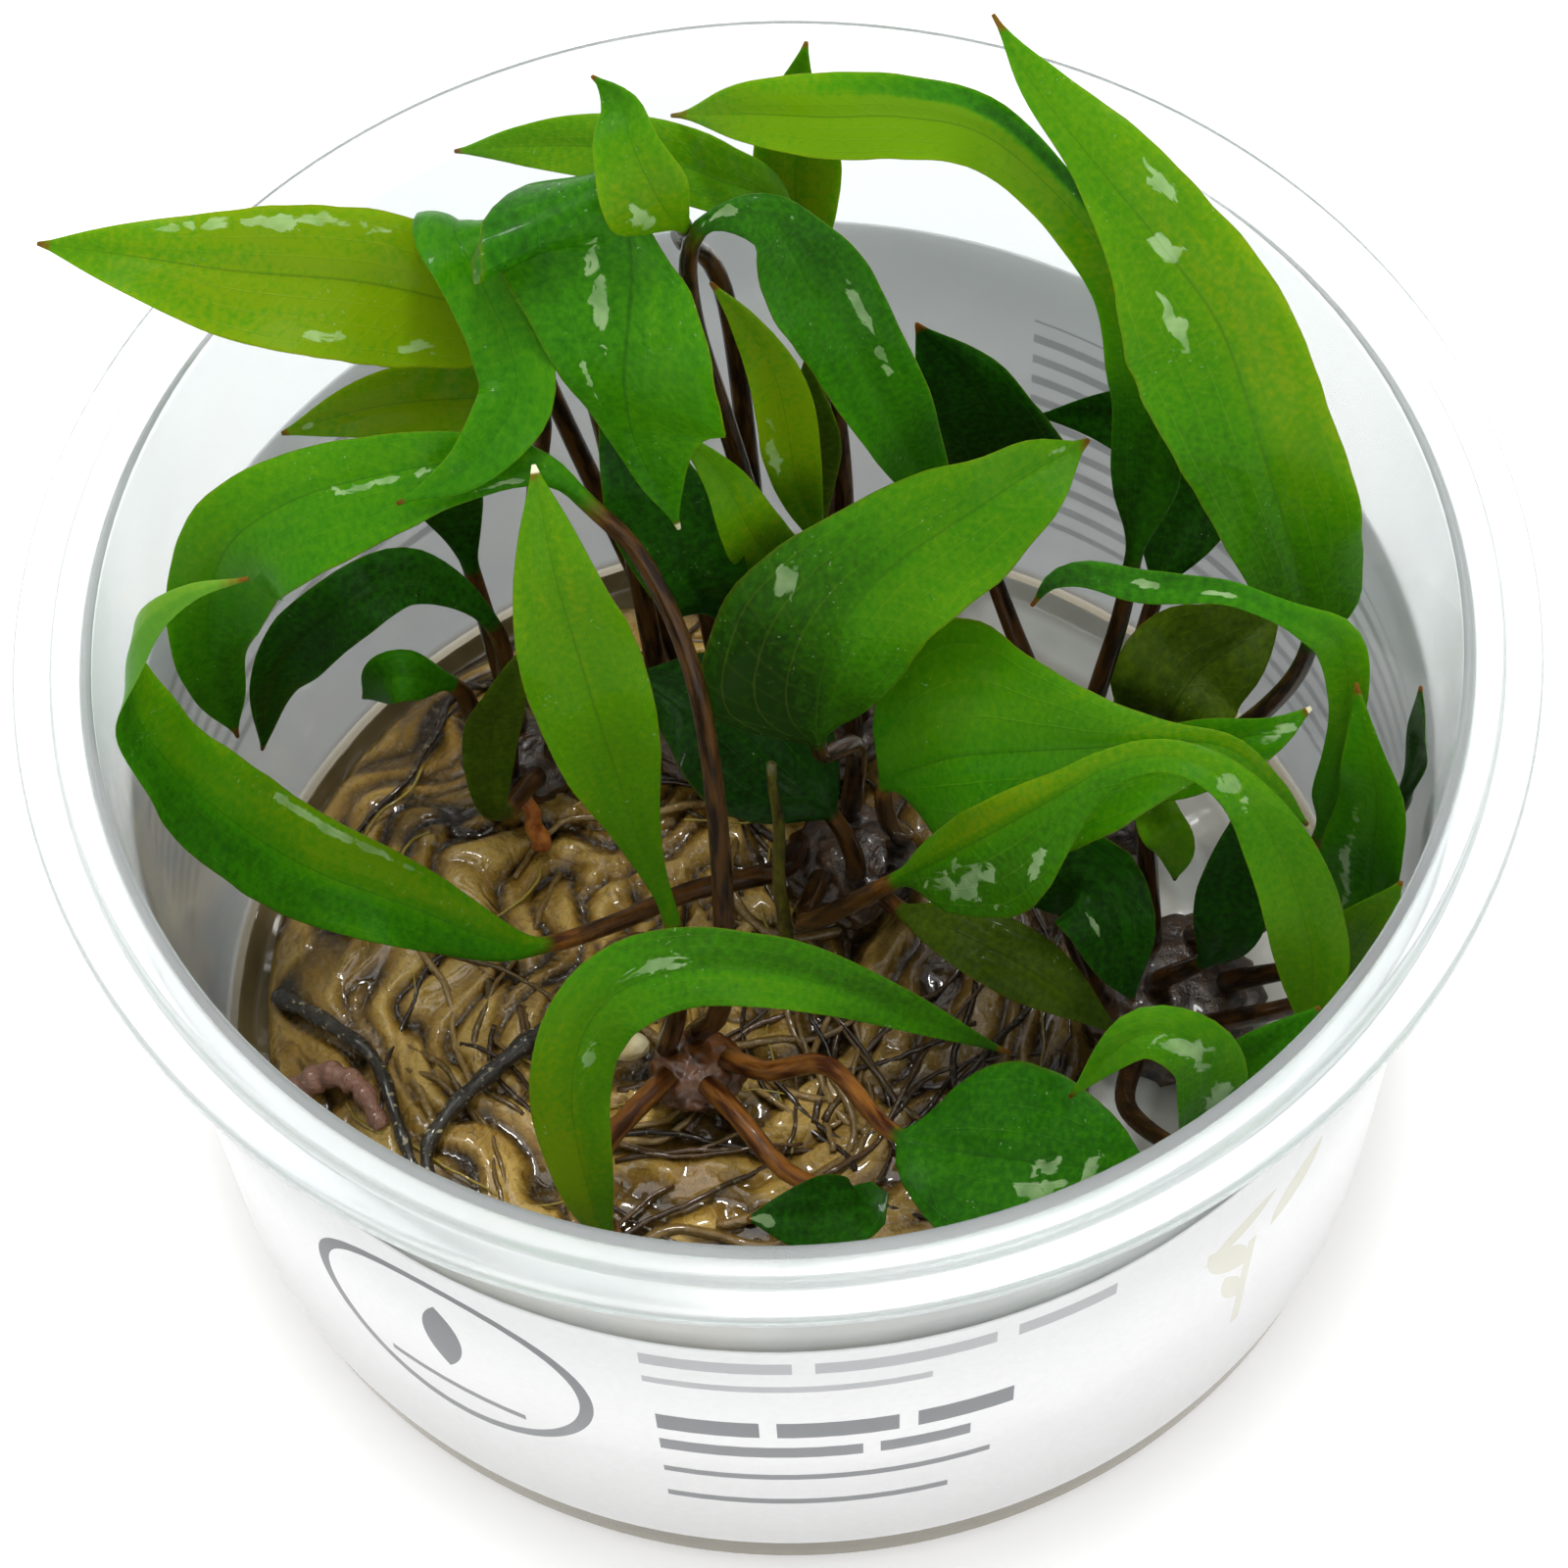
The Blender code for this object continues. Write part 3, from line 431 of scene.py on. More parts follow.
def printed_paper():
    recipe = Recipe("coated_label_paper")
    number = recipe.number
    place = recipe.place()
    x, y, z = recipe.split(place)
    round_way = number("MULTIPLY", number("ARCTAN2", x, number("MULTIPLY", y, -1.0)), LABEL_RADIUS)
    up_way = number("MULTIPLY", z, 1000.0)
    sheet = recipe.add("CombineXYZ", {0: round_way, 1: up_way}).outputs[0]

    def bar(left, right, low, high):
        """1 inside a printed bar given in millimetres round and up the band, and 0 outside."""
        wide = number("COMPARE", round_way, (left + right) / 2, (right - left) / 2)
        tall = number("COMPARE", up_way, (low + high) / 2, (high - low) / 2)
        return number("MULTIPLY", wide, tall)

    def lines(left, right, low, high):
        """Small print, as lines at an even pitch that fill a bar."""
        line = number("LESS_THAN", number("PINGPONG", up_way, PRINT_PITCH / 2), 0.2 * PRINT_PITCH)
        return number("MULTIPLY", bar(left, right, low, high), line)

    def together(masks):
        """The union of several masks."""
        joined = masks[0]
        for mask in masks[1:]:
            joined = number("MAXIMUM", joined, mask)
        return joined

    def reach(middle):
        """Distance on the sheet from a point."""
        return recipe.add("VectorMath", {0: sheet, 1: (*middle, 0.0)}, operation="DISTANCE").outputs["Value"]

    def ring(middle, radius, half_line):
        """1 on a circle's line."""
        return number("COMPARE", reach(middle), radius, half_line)

    def seed_leaf(first, second, radius):
        """1 where two discs overlap."""
        inside = [number("LESS_THAN", reach(middle), radius) for middle in (first, second)]
        return number("MULTIPLY", *inside)

    fibre = recipe.cloud(place, PAPER_FIBRE, 1.0)
    sprig = together([
        seed_leaf((25.5, 27.0), (35.5, 33.0), 7.2), seed_leaf((32.5, 35.5), (41.5, 29.5), 6.8),
        seed_leaf((28.5, 38.5), (34.0, 29.0), 6.6), seed_leaf((27.0, 22.5), (36.0, 25.5), 5.6),
        bar(32.4, 33.2, 16.5, 30.0)])
    pale_ink = together([
        bar(-11.5, -1.5, 37.6, 39.4), bar(0.0, 12.0, 37.6, 39.4), bar(13.5, 20.5, 37.6, 39.4),
        bar(-11.5, 7.7, 34.4, 35.4), lines(72.0, 118.0, 13.0, 35.0), lines(-112.0, -70.0, 18.0, 37.0)])
    dark_ink = together([
        bar(-11.0, -4.0, 26.2, 28.8), bar(-2.8, 5.5, 26.2, 28.8), bar(6.8, 13.5, 26.2, 28.8),
        bar(-11.0, 3.0, 22.6, 24.4), bar(4.2, 10.5, 22.6, 24.4), bar(-11.0, 12.0, 18.5, 19.4),
        bar(-11.0, 9.0, 14.0, 14.9), ring((-26.5, 27.5), 10.6, 0.5),
        seed_leaf((-34.0, 29.5), (-19.0, 29.5), 9.0), bar(-32.0, -21.0, 20.6, 21.4)])
    tone = recipe.blend(fibre, "#ECEBEC", "#F4F3F4")
    inks = ((sprig, 0.55, "#B9B48C"), (pale_ink, 0.75, "#8B8D90"), (dark_ink, 0.85, "#4C4F53"))
    for mask, depth, ink in inks:
        tone = recipe.blend(number("MULTIPLY", mask, depth), tone, ink)
    return recipe.finished({
        "Base Color": tone,
        "Normal": recipe.bump(fibre, 0.15, 0.05),
        "Roughness": 0.42,
        "Specular IOR Level": 0.3,
        "Subsurface Weight": 1.0,
        "Subsurface Radius": (1.0, 1.0, 1.0),
        "Subsurface Scale": 0.0012,
    })


# %% Wrap the band round the wall
def band_outline():
    """A thin strip that follows the slope of the wall, a little away from it."""
    foot = wall_radius(LABEL_FOOT) + GAP
    top = wall_radius(LABEL_TOP) + GAP
    return [
        (foot, LABEL_FOOT), (foot + LABEL_THICKNESS, LABEL_FOOT),
        (top + LABEL_THICKNESS, LABEL_TOP), (top, LABEL_TOP)]


paper_band = finish_piece(
    "paper_band", spun(band_outline(), closed=True), printed_paper(), "label_paper", "label")
print("paper band:", triangles(paper_band), "triangles, height", LABEL_TOP - LABEL_FOOT, "mm")


# %% [markdown]
# ## Growing gel
#
# The plantlets grew in a clear jelly of agar. What is left of it covers the floor: nearly water clear at
# the right, where the white under the cup shows through, and stained brown where the roots fill it. It is
# modelled as a shallow disc that creeps up a little where it meets the wall, and its top is shaped by
# noise, because jelly that was broken up and rinsed is uneven. The finish draws what shows through: the
# brown stain, and at the right the white with the faint rings that are moulded in the floor.

# %% Gel material
GEL_TOP = 6.4
GEL_RADIUS = 38.0
GEL_CREEP = 0.9
GEL_CORNER = 0.4
GEL_DIP = 0.5
GEL_DIP_SIZE = 4.0
GEL_CLOUD = 7.0
GEL_DRIFT = 30.0
GEL_CLEAR_FROM = 22.0
GEL_CLEAR_TO = 34.0
GEL_WALL_LOW = 4.5
GEL_WALL_HIGH = 6.2
HOOP_STEP = 3.0
ROOTS_CENTRE = (-8.0, 1.5)
ROOTS_HALF = (29.0, 33.0)


def agar_gel():
    recipe = Recipe("set_agar_gel")
    place = recipe.place()
    x, y, z = recipe.split(place)
    cloud = recipe.cloud(place, GEL_CLOUD, 3.0)
    drift = recipe.number("MULTIPLY_ADD", cloud, GEL_DRIFT * MM, x)
    clear = recipe.ramp(drift, GEL_CLEAR_FROM * MM, GEL_CLEAR_TO * MM, kind="SMOOTHSTEP")
    upper = recipe.ramp(z, GEL_WALL_LOW * MM, GEL_WALL_HIGH * MM)
    flat = recipe.add("CombineXYZ", {0: x, 1: y}).outputs[0]
    reach = recipe.add("VectorMath", {0: flat}, operation="LENGTH").outputs["Value"]
    hoop = recipe.number("PINGPONG", reach, HOOP_STEP * MM)
    moulding = recipe.ramp(hoop, 0.3 * HOOP_STEP * MM, 0.7 * HOOP_STEP * MM, 0.0, 0.8, "SMOOTHSTEP")
    under = recipe.blend(moulding, "#F0F0EA", "#B9B7AC")
    stain = recipe.blend(cloud, "#3E3018", "#84744E")
    return recipe.finished({
        "Base Color": recipe.blend(recipe.number("MULTIPLY", clear, upper), stain, under),
        "Normal": recipe.bump(cloud, 0.6, 1.0),
        "Roughness": 0.16,
        "IOR": 1.34,
    })


# %% Pour the gel
def gel_piece():
    floor = FLOOR_THICKNESS + GAP
    outline = [(GEL_RADIUS * share, GEL_TOP) for share in (0.0, 0.3, 0.6, 0.85, 1.0)]
    outline += [
        (GEL_RADIUS + 1.3 * GEL_CREEP, GEL_TOP + GEL_CREEP), (GEL_RADIUS + GEL_CREEP, GEL_TOP - GEL_CREEP),
        (GEL_RADIUS - 0.2, floor + FOOT_ROUND), (GEL_RADIUS - 0.8 * FOOT_ROUND, floor), (0.0, floor)]
    shape = spun(rounded(outline, GEL_CORNER))
    level = GEL_TOP - 0.01
    top = [edge for edge in shape.edges if min(corner.co.z for corner in edge.verts) > level]
    bmesh.ops.subdivide_edges(shape, edges=top, cuts=2, use_grid_fill=True)
    for corner in shape.verts:
        if corner.co.z > level:
            reach = Vector((corner.co.x, corner.co.y, 0.0)).length
            inside = max(0.0, 1.0 - (reach / (GEL_RADIUS - 1.0)) ** 6)
            corner.co.z -= GEL_DIP * inside * abs(noise.noise(corner.co / GEL_DIP_SIZE))
    return finish_piece("growing_gel", shape, agar_gel(), "gel", "nutrient_gel")


gel = gel_piece()
print("gel:", triangles(gel), "triangles")


# %% [markdown]
# ## Root mat
#
# Under the plants the roots are felted into a low cushion, soaked in gel, that looks like crumpled wet
# cloth: puffed tan skins with dark creases between them, which run round the cup in swirls. The cushion's
# height comes from noise taken as its distance from zero, which gives round puffs with sharp creases. How
# far a place lies out of its crease is kept in an attribute, and the colour follows it: it darkens down
# into the creases as painted shade. Over the cushion lie single roots as thin bent tubes. Each is a cone
# whose long edges are subdivided and whose rings are moved along a wandering path.

# %% The wet finish of roots
ROOT_GRAIN = 0.5
ROOT_CLOUD = 6.0
ROOT_CRUMPLE = 2.6
ROOTS_DARK_FROM = -4.0
ROOTS_DARK_TO = 10.0


def wet_roots(name, crease, skin, ridge, speckle):
    """Wet root skin: three tones from crease to ridge by the fold attribute, a share of pale speckle, and
    darker to the right. The crease tone is painted shade in the cushion's creases, and on single roots the
    attribute is a lightness given to each root.
    """
    recipe = Recipe(name)
    number, ramp = recipe.number, recipe.ramp
    place = recipe.place()
    cloud = recipe.cloud(place, ROOT_CLOUD, 3.0)
    grain = recipe.cloud(place, ROOT_GRAIN, 2.0)
    crumple = recipe.cloud(place, ROOT_CRUMPLE, 1.0, Distortion=1.5)
    level = number("MULTIPLY_ADD", cloud, 0.7, recipe.attribute("fold", "Fac"))
    thread = number("PINGPONG", crumple, 0.06)
    # Painted shade: where the fold attribute is low, in the cushion's creases, the colour darkens to the
    # crease tone.
    tone = recipe.blend(ramp(level, 0.40, 0.85), crease, skin)
    tone = recipe.blend(ramp(level, 0.85, 1.35), tone, ridge)
    tone = recipe.blend(ramp(grain, 0.60, 0.68, 0.0, speckle), tone, "#C9BE94")
    darker = ramp(recipe.split(place)[0], ROOTS_DARK_FROM * MM, ROOTS_DARK_TO * MM, 0.0, 0.7)
    tone = recipe.blend(darker, tone, "#21160C")
    tone = recipe.blend(ramp(thread, 0.002, 0.008, 0.4, 0.0), tone, crease)
    return recipe.finished({
        "Base Color": tone,
        "Normal": recipe.bump(number("MULTIPLY_ADD", grain, 0.25, crumple), 0.7, 1.2),
        "Roughness": 0.30,
        "Specular IOR Level": 0.1,
        "Coat Weight": 0.8,
        "Coat Roughness": 0.04,
    })


# The first colour is the crease tone, painted shade in the cushion's creases.
mat_finish = wet_roots("wet_felted_roots", "#2C1D08", "#9C7830", "#CEAA58", 0.15)
print("root grain", ROOT_GRAIN, "mm")


# %% Felt the cushion
ROOTS_FOOT = GEL_TOP + GAP
ROOTS_RISE = 5.0
ROOTS_LUMP = 0.6
CUSHION_AROUND = 360
CUSHION_RINGS = 180
PUFF_WIDTH = 2.5
PUFFS_ROUND = 1.9
WRINKLE_WIDTH = 1.3
WRINKLES_ROUND = 4.0
PUFF_HEIGHT = 0.18
WRINKLE_HEIGHT = 0.07
SWIRL_SIZE = 8.0
PUFF_SWIRL = 1.8
WRINKLE_SWIRL = 4.0
CREASE_SHARPNESS = 3.0
CUSHION_SKIRT = 0.4


def way_out(x, y):
    """How far out a place lies on the mat: 0 in its middle and 1 at its edge."""
    return math.hypot((x - ROOTS_CENTRE[0]) / ROOTS_HALF[0], (y - ROOTS_CENTRE[1]) / ROOTS_HALF[1])


def bearing(x, y):
    """The direction of a place from the mat's middle."""
    return math.atan2(y - ROOTS_CENTRE[1], x - ROOTS_CENTRE[0])


def swirling(x, y, layer):
    """Slow noise over the mat, one field for each layer."""
    return noise.noise(Vector((x / SWIRL_SIZE, y / SWIRL_SIZE, layer)))


def mat_top(x, y):
    """Height of the root mat's upper side."""
    reach = min(1.0, way_out(x, y))
    lumps = ROOTS_LUMP * math.sin(0.31 * x + 0.5) * math.cos(0.27 * y)
    return ROOTS_FOOT + (ROOTS_RISE + lumps) * math.sqrt(1.0 - reach ** 4)


def puffs(x, y):
    """How far a place stands out of the creases, large and small: 0 in a crease, 1 on the skin."""
    reach = math.hypot(x - ROOTS_CENTRE[0], y - ROOTS_CENTRE[1])
    turn = bearing(x, y)
    swirl = swirling(x, y, 1.0)
    swerve = swirling(x, y, 9.0)
    large = noise.noise(Vector((
        reach / PUFF_WIDTH + PUFF_SWIRL * swirl, PUFFS_ROUND * math.cos(turn) + swerve,
        PUFFS_ROUND * math.sin(turn))))
    small = noise.noise(Vector((
        reach / WRINKLE_WIDTH + WRINKLE_SWIRL * swirl, WRINKLES_ROUND * math.cos(turn) + 2.0 * swerve,
        WRINKLES_ROUND * math.sin(turn))))
    return min(1.0, CREASE_SHARPNESS * abs(large)), min(1.0, CREASE_SHARPNESS * abs(small))


def root_cushion():
    shape = bmesh.new()
    bmesh.ops.create_uvsphere(shape, u_segments=CUSHION_AROUND, v_segments=CUSHION_RINGS, radius=1.0)
    fold = shape.verts.layers.float.new("fold")
    for corner in shape.verts:
        x = ROOTS_CENTRE[0] + ROOTS_HALF[0] * corner.co.x
        y = ROOTS_CENTRE[1] + ROOTS_HALF[1] * corner.co.y
        if corner.co.z < -0.001:
            corner.co = (x, y, ROOTS_FOOT)
            continue
        height = mat_top(x, y) - ROOTS_FOOT
        large, small = puffs(x, y)
        # Low in the creases, where the finish paints shade.
        corner[fold] = large * (0.55 + 0.45 * small)
        swell = 1.0 - PUFF_HEIGHT * (1.0 - large) - WRINKLE_HEIGHT * (1.0 - small)
        if height > CUSHION_SKIRT:
            height = CUSHION_SKIRT + (height - CUSHION_SKIRT) * swell
        corner.co = (x, y, ROOTS_FOOT + height)
    return finish_piece("root_mat", shape, mat_finish, "roots", "root_mass")


root_mat = root_cushion()
print("root mat:", triangles(root_mat), "triangles")


# %% Lay single roots over the cushion
STRAND_SIDES = 6
STRAND_RINGS = 36
STRAND_WAVE = 0.25
STRAND_SWERVE = 2.2
STRAND_JITTER = 0.20
STRAND_SINK = 0.40
DRIFT_PULL = 0.10
EDGE_PULL = 0.35
MAT_EDGE = 0.9


def ringed_cone(shape, sides, rings):
    """Adds a closed cone to a bmesh, with even rings from -0.5 to 0.5 along z, and returns its corners."""
    corners_before = len(shape.verts)
    edges_before = len(shape.edges)
    bmesh.ops.create_cone(shape, cap_ends=True, segments=sides, radius1=1.0, radius2=1.0, depth=1.0)
    shape.edges.ensure_lookup_table()
    long_edges = [
        edge for edge in shape.edges[edges_before:] if abs(edge.verts[0].co.z - edge.verts[1].co.z) > 0.5]
    bmesh.ops.subdivide_edges(shape, edges=long_edges, cuts=rings - 2, use_grid_fill=True)
    shape.verts.ensure_lookup_table()
    return shape.verts[corners_before:]


def bent_tube(shape, path, radii, sides):
    """Adds a cone whose rings are moved along a path in millimetres, and returns its corners."""
    corners = ringed_cone(shape, sides, len(path))
    for corner in corners:
        place = round((corner.co.z + 0.5) * (len(path) - 1))
        ahead = (path[min(place + 1, len(path) - 1)] - path[max(place - 1, 0)]).normalized()
        side = ahead.cross(Vector((0.0, 0.0, 1.0)))
        side = side.normalized() if side.length > 0.01 else Vector((1.0, 0.0, 0.0))
        corner.co = path[place] + (side * corner.co.x + side.cross(ahead) * corner.co.y) * radii[place]
    return corners


def drift_heading(x, y):
    """The way the roots run at a place: round the cup, swerving now and then."""
    return bearing(x, y) + math.pi / 2 + STRAND_SWERVE * swirling(x, y, 3.0)


def wandering_path(dice, start, heading, step, count, curl, lift):
    """Points of a root that lies on the cushion and drifts with the others, back inwards near the edge."""
    x, y = start
    path = []
    for place in range(count):
        rise = lift + STRAND_WAVE * math.sin(place * 0.45 + heading)
        path.append(Vector((x, y, mat_top(x, y) + rise)))
        goal = drift_heading(x, y)
        pull = DRIFT_PULL
        if way_out(x, y) > MAT_EDGE:
            goal = math.atan2(ROOTS_CENTRE[1] - y, ROOTS_CENTRE[0] - x)
            pull = EDGE_PULL
        heading += pull * ((goal - heading + math.pi) % (2.0 * math.pi) - math.pi)
        heading += curl + dice.uniform(-STRAND_JITTER, STRAND_JITTER)
        x += step * math.cos(heading)
        y += step * math.sin(heading)
    return path


def root_strands(name, count, seed, finish, radius, length, lift):
    """Many single roots as one piece. They set out round the cup, as the creases run."""
    dice = random.Random(seed)
    shape = bmesh.new()
    fold = shape.verts.layers.float.new("fold")
    for _ in range(count):
        spot = dice.uniform(0.0, 2.0 * math.pi)
        reach = 0.95 * math.sqrt(dice.random())
        start = (ROOTS_CENTRE[0] + ROOTS_HALF[0] * reach * math.cos(spot),
                 ROOTS_CENTRE[1] + ROOTS_HALF[1] * reach * math.sin(spot))
        thick = radius * dice.uniform(0.7, 1.3)
        path = wandering_path(
            dice, start, drift_heading(*start) + dice.uniform(-0.9, 0.9),
            length * dice.uniform(0.5, 1.2) / STRAND_RINGS, STRAND_RINGS, dice.uniform(-0.10, 0.10),
            lift * dice.random() - STRAND_SINK)
        radii = [thick * (1.0 - 0.5 * place / (STRAND_RINGS - 1)) for place in range(STRAND_RINGS)]
        corners = bent_tube(shape, path, radii, STRAND_SIDES)
        lightness = dice.uniform(0.25, 0.95)
        for corner in corners:
            corner[fold] = lightness
    return finish_piece(name, shape, finish, "roots")


tan_finish = wet_roots("wet_tan_root", "#4A3818", "#7E6230", "#AC8C50", 0.2)
brown_finish = wet_roots("wet_brown_root", "#150C05", "#3A2814", "#6A4C28", 0.3)
yellow_finish = wet_roots("wet_yellow_root", "#8A7228", "#B09A3C", "#D6C468", 0.2)
tan_roots = root_strands("tan_root_strands", 26, 11, tan_finish, 0.34, 26.0, 0.3)
brown_roots = root_strands("brown_root_strands", 28, 23, brown_finish, 0.26, 40.0, 0.5)
yellow_roots = root_strands("yellow_root_strands", 14, 31, yellow_finish, 0.15, 20.0, 0.9)
print("strands:", sum(triangles(piece) for piece in (tan_roots, brown_roots, yellow_roots)), "triangles")


# %% Lay the thick roots that stand out
THICK_ROOT_SIDES = 16
THICK_ROOT_RINGS = 40
THICK_ROOT_SMOOTHING = 6
THICK_ROOT_LIGHTNESS = 0.6


def thick_root(name, spots, radius, finish):
    """One root through a few places on the cushion, given as x, y and how far it is raised."""
    held = [Vector((x, y, mat_top(x, y) + rise)) for x, y, rise in spots]
    path = []
    for place in range(THICK_ROOT_RINGS):
        share = place / (THICK_ROOT_RINGS - 1) * (len(held) - 1)
        index = min(int(share), len(held) - 2)
        point = held[index].lerp(held[index + 1], share - index)
        point.z += 0.12 * math.sin(place * 1.1)
        path.append(point)
    for _ in range(THICK_ROOT_SMOOTHING):
        path[1:-1] = [
            (before + point + after) / 3.0 for before, point, after in zip(path, path[1:], path[2:])]
    radii = [radius * (1.0 + 0.12 * math.sin(place * 0.9) - 0.4 * place / THICK_ROOT_RINGS)
             for place in range(THICK_ROOT_RINGS)]
    shape = bmesh.new()
    fold = shape.verts.layers.float.new("fold")
    for corner in bent_tube(shape, path, radii, THICK_ROOT_SIDES):
        corner[fold] = THICK_ROOT_LIGHTNESS
    return finish_piece(name, shape, finish, "roots")


black_finish = wet_roots("wet_black_root", "#0E0B08", "#2A241C", "#4A4234", 0.8)
pink_finish = wet_roots("pink_brown_root", "#5A3424", "#A0705A", "#CDA088", 0.1)
FRONT_ROOT = [(-16.5, -2.5, 0.2), (-18.5, -4.0, 0.9), (-21.4, -6.4, 1.0), (-23.8, -8.5, 0.9),
              (-26.1, -11.6, 0.7), (-25.6, -15.0, 0.2)]
LEFT_ROOT = [(-36.1, 2.8, 0.3), (-32.6, -0.7, 0.8), (-29.1, -4.1, 0.9), (-27.5, -10.7, 0.6),
             (-26.5, -14.0, 0.0)]
PINK_ROOT = [(-35.0, -5.2, 0.2), (-32.8, -4.6, 0.9), (-30.5, -5.9, 0.8), (-28.9, -9.3, 0.0)]
THICK_ROOTS = (
    ("black_front_root", FRONT_ROOT, 0.75, black_finish),
    ("black_left_root", LEFT_ROOT, 0.65, black_finish),
    ("pink_left_root", PINK_ROOT, 1.05, pink_finish),
)
for thick_root_row in THICK_ROOTS:
    thick_root(*thick_root_row)
print("thick roots:", len(THICK_ROOTS), "pieces")


# %% [markdown]
# ## Crowns, bud and dead stubs
#
# A plantlet's stem is only a few millimetres long: a reddish brown knob that all its leaves rise from, here
# called a crown. Each one is a ball squashed to its solid's size and roughened by noise. The pale bud
# beside the front crown is smooth and waxy. The orange sheath is a leaf base that has died, and the thin
# dark stub is a stalk that was cut.

# %% Stem finishes
def plant_tissue(name, deep, pale, grain, polish, bump):
    """Living or dead tissue in two tones, with its grain and relief given in millimetres."""
    recipe = Recipe(name)
    stretched = recipe.add("Mapping", {"Vector": recipe.place(), "Scale": (1.0, 1.0, 0.4)}).outputs["Vector"]
    cells = recipe.cloud(stretched, grain, 5.0, Roughness=0.6)
    return recipe.finished({
        "Base Color": recipe.blend(recipe.ramp(cells, 0.35, 0.65), deep, pale),
        "Normal": recipe.bump(cells, 0.6, bump),
        "Roughness": polish,
        "Coat Weight": 0.2,
        "Coat Roughness": 0.06,
    })


crown_skin = plant_tissue("wet_crown_skin", "#1A1008", "#4E3419", 1.4, 0.3, 0.6)
front_crown_skin = plant_tissue("wet_reddish_crown_skin", "#38200C", "#7C4A22", 1.4, 0.3, 0.2)
bud_skin = plant_tissue("waxy_bud_skin", "#CDB478", "#EFE4B8", 2.5, 0.2, 0.1)
sheath_skin = plant_tissue("dead_sheath_skin", "#8A3A12", "#D98A3A", 0.8, 0.35, 0.2)
cut_skin = plant_tissue("cut_stalk_skin", "#2A2A0C", "#6C6A22", 0.8, 0.3, 0.2)
print("tissue materials:", [skin.name for skin in (crown_skin, bud_skin, sheath_skin, cut_skin)])


# %% Make the crowns
CROWNS = ("crown_back", "crown_middle", "crown_front", "crown_left", "crown_right", "crown_right_back")
KNOB_LUMPS = 2.5
KNOB_WARTS = 7.0


def middle_and_half(node):
    """Middle and half size of a CAD node's box, in millimetres."""
    low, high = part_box(node)
    return (low + high) / (2.0 * MM), (high - low) / (2.0 * MM)


def knob(name, node, finish, slot, rough):
    """A squashed ball with a skin roughened by noise, the size of its CAD node."""
    middle, half = middle_and_half(node)
    shape = bmesh.new()
    bmesh.ops.create_icosphere(shape, subdivisions=5, radius=1.0)
    for corner in shape.verts:
        swell = 1.0 + rough * noise.noise(corner.co * KNOB_LUMPS + middle)
        swell += 0.5 * rough * noise.noise(corner.co * KNOB_WARTS + middle)
        corner.co = middle + Vector([swell * a * b for a, b in zip(corner.co, half)])
    return finish_piece(name, shape, finish, slot, node)


for crown in CROWNS:
    skin = front_crown_skin if crown == "crown_front" else crown_skin
    knob(crown.replace("crown", "stem"), crown, skin, "crown", 0.16)
knob("waxy_bud", "white_bud", bud_skin, "bud", 0.05)
print("crowns and bud:", len(CROWNS) + 1, "pieces")


# %% Make the dead sheath and the cut stalk
STUB_RINGS = 24
STUB_SWAY = 0.12
STUB_TAPER = 0.35


def stub(name, node, finish, slot, sides, waist, lean):
    """A tapering stub between the low and high end of its CAD node, set in from the box's sides."""
    low, high = (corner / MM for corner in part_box(node))
    start = Vector((high.x - lean[0], low.y + lean[1], low.z))
    end = Vector((low.x + lean[0], high.y - lean[1], high.z))
    path = [start.lerp(end, place / (STUB_RINGS - 1)) for place in range(STUB_RINGS)]
    for place, point in enumerate(path):
        point.x += STUB_SWAY * math.sin(place * 0.5)
    radii = [waist * (1.0 - STUB_TAPER * place / (STUB_RINGS - 1)) for place in range(STUB_RINGS)]
    shape = bmesh.new()
    bent_tube(shape, path, radii, sides)
    return finish_piece(name, shape, finish, slot, node)


sheath = stub("dead_sheath", "old_sheath", sheath_skin, "old_sheath", 20, 0.75, (1.0, 0.5))
cut_end = stub("cut_leaf_stalk", "cut_stalk", cut_skin, "leaf_olive", 16, 0.55, (0.6, 0.6))
print("stubs:", triangles(sheath) + triangles(cut_end), "triangles")


# %% [markdown]
# ## Leaf finish
#
# A leaf of this plant is glossy and thin. Its colour runs from yellow green to deep green, and that run is
# painted light and shade: yellow green where light falls or comes through, deep green in the shade. Under
# a fine dark speckle, veins follow the edge from the stalk to the tip and finer ones cross between them.
# The margin is a thin brownish line and the tip is reddish, at times with a cream bead. A film of water
# lies on it in a few ragged patches, which shine through a smooth coat and look silvery through a painted
# pale reflection. The pattern has to follow each bent blade, so the mesh carries three attributes. "blade"
# holds the place across from -1 to 1, the place along from 0 to 1 (below 0 on the stalk) and 1 on the
# underside. "surface" holds the same place in millimetres, for patterns of a real size. "shade" holds the
# painted light and shade there, how much water lies on it, and 1 on a leaf whose tip has a bead.

# %% Leaf material
VEIN_STEP = 0.27
CLOUD_SIZE = 7.0
MOTTLE_SIZE = 0.45
WET_EDGE = 1.4
DROPLET_SIZE = 0.35
# Each scale is one leaf colour under painted light and shade, from deep shade at 0 to full light at 1.
YOUNG_TONES = ((0.0, "#1A3508"), (0.28, "#285705"), (0.55, "#367303"), (0.83, "#508004"), (1.0, "#688604"))
GREEN_TONES = ((0.0, "#122C07"), (0.28, "#1F5306"), (0.55, "#2E7004"), (0.83, "#468004"), (1.0, "#5E8604"))
SHADED_TONES = ((0.0, "#0C1E05"), (0.28, "#153C05"), (0.55, "#225E05"), (0.83, "#387A05"), (1.0, "#4C8605"))
OLIVE_TONES = ((0.0, "#131C08"), (0.28, "#243408"), (0.55, "#3A500A"), (0.83, "#546A0E"), (1.0, "#6C7C16"))


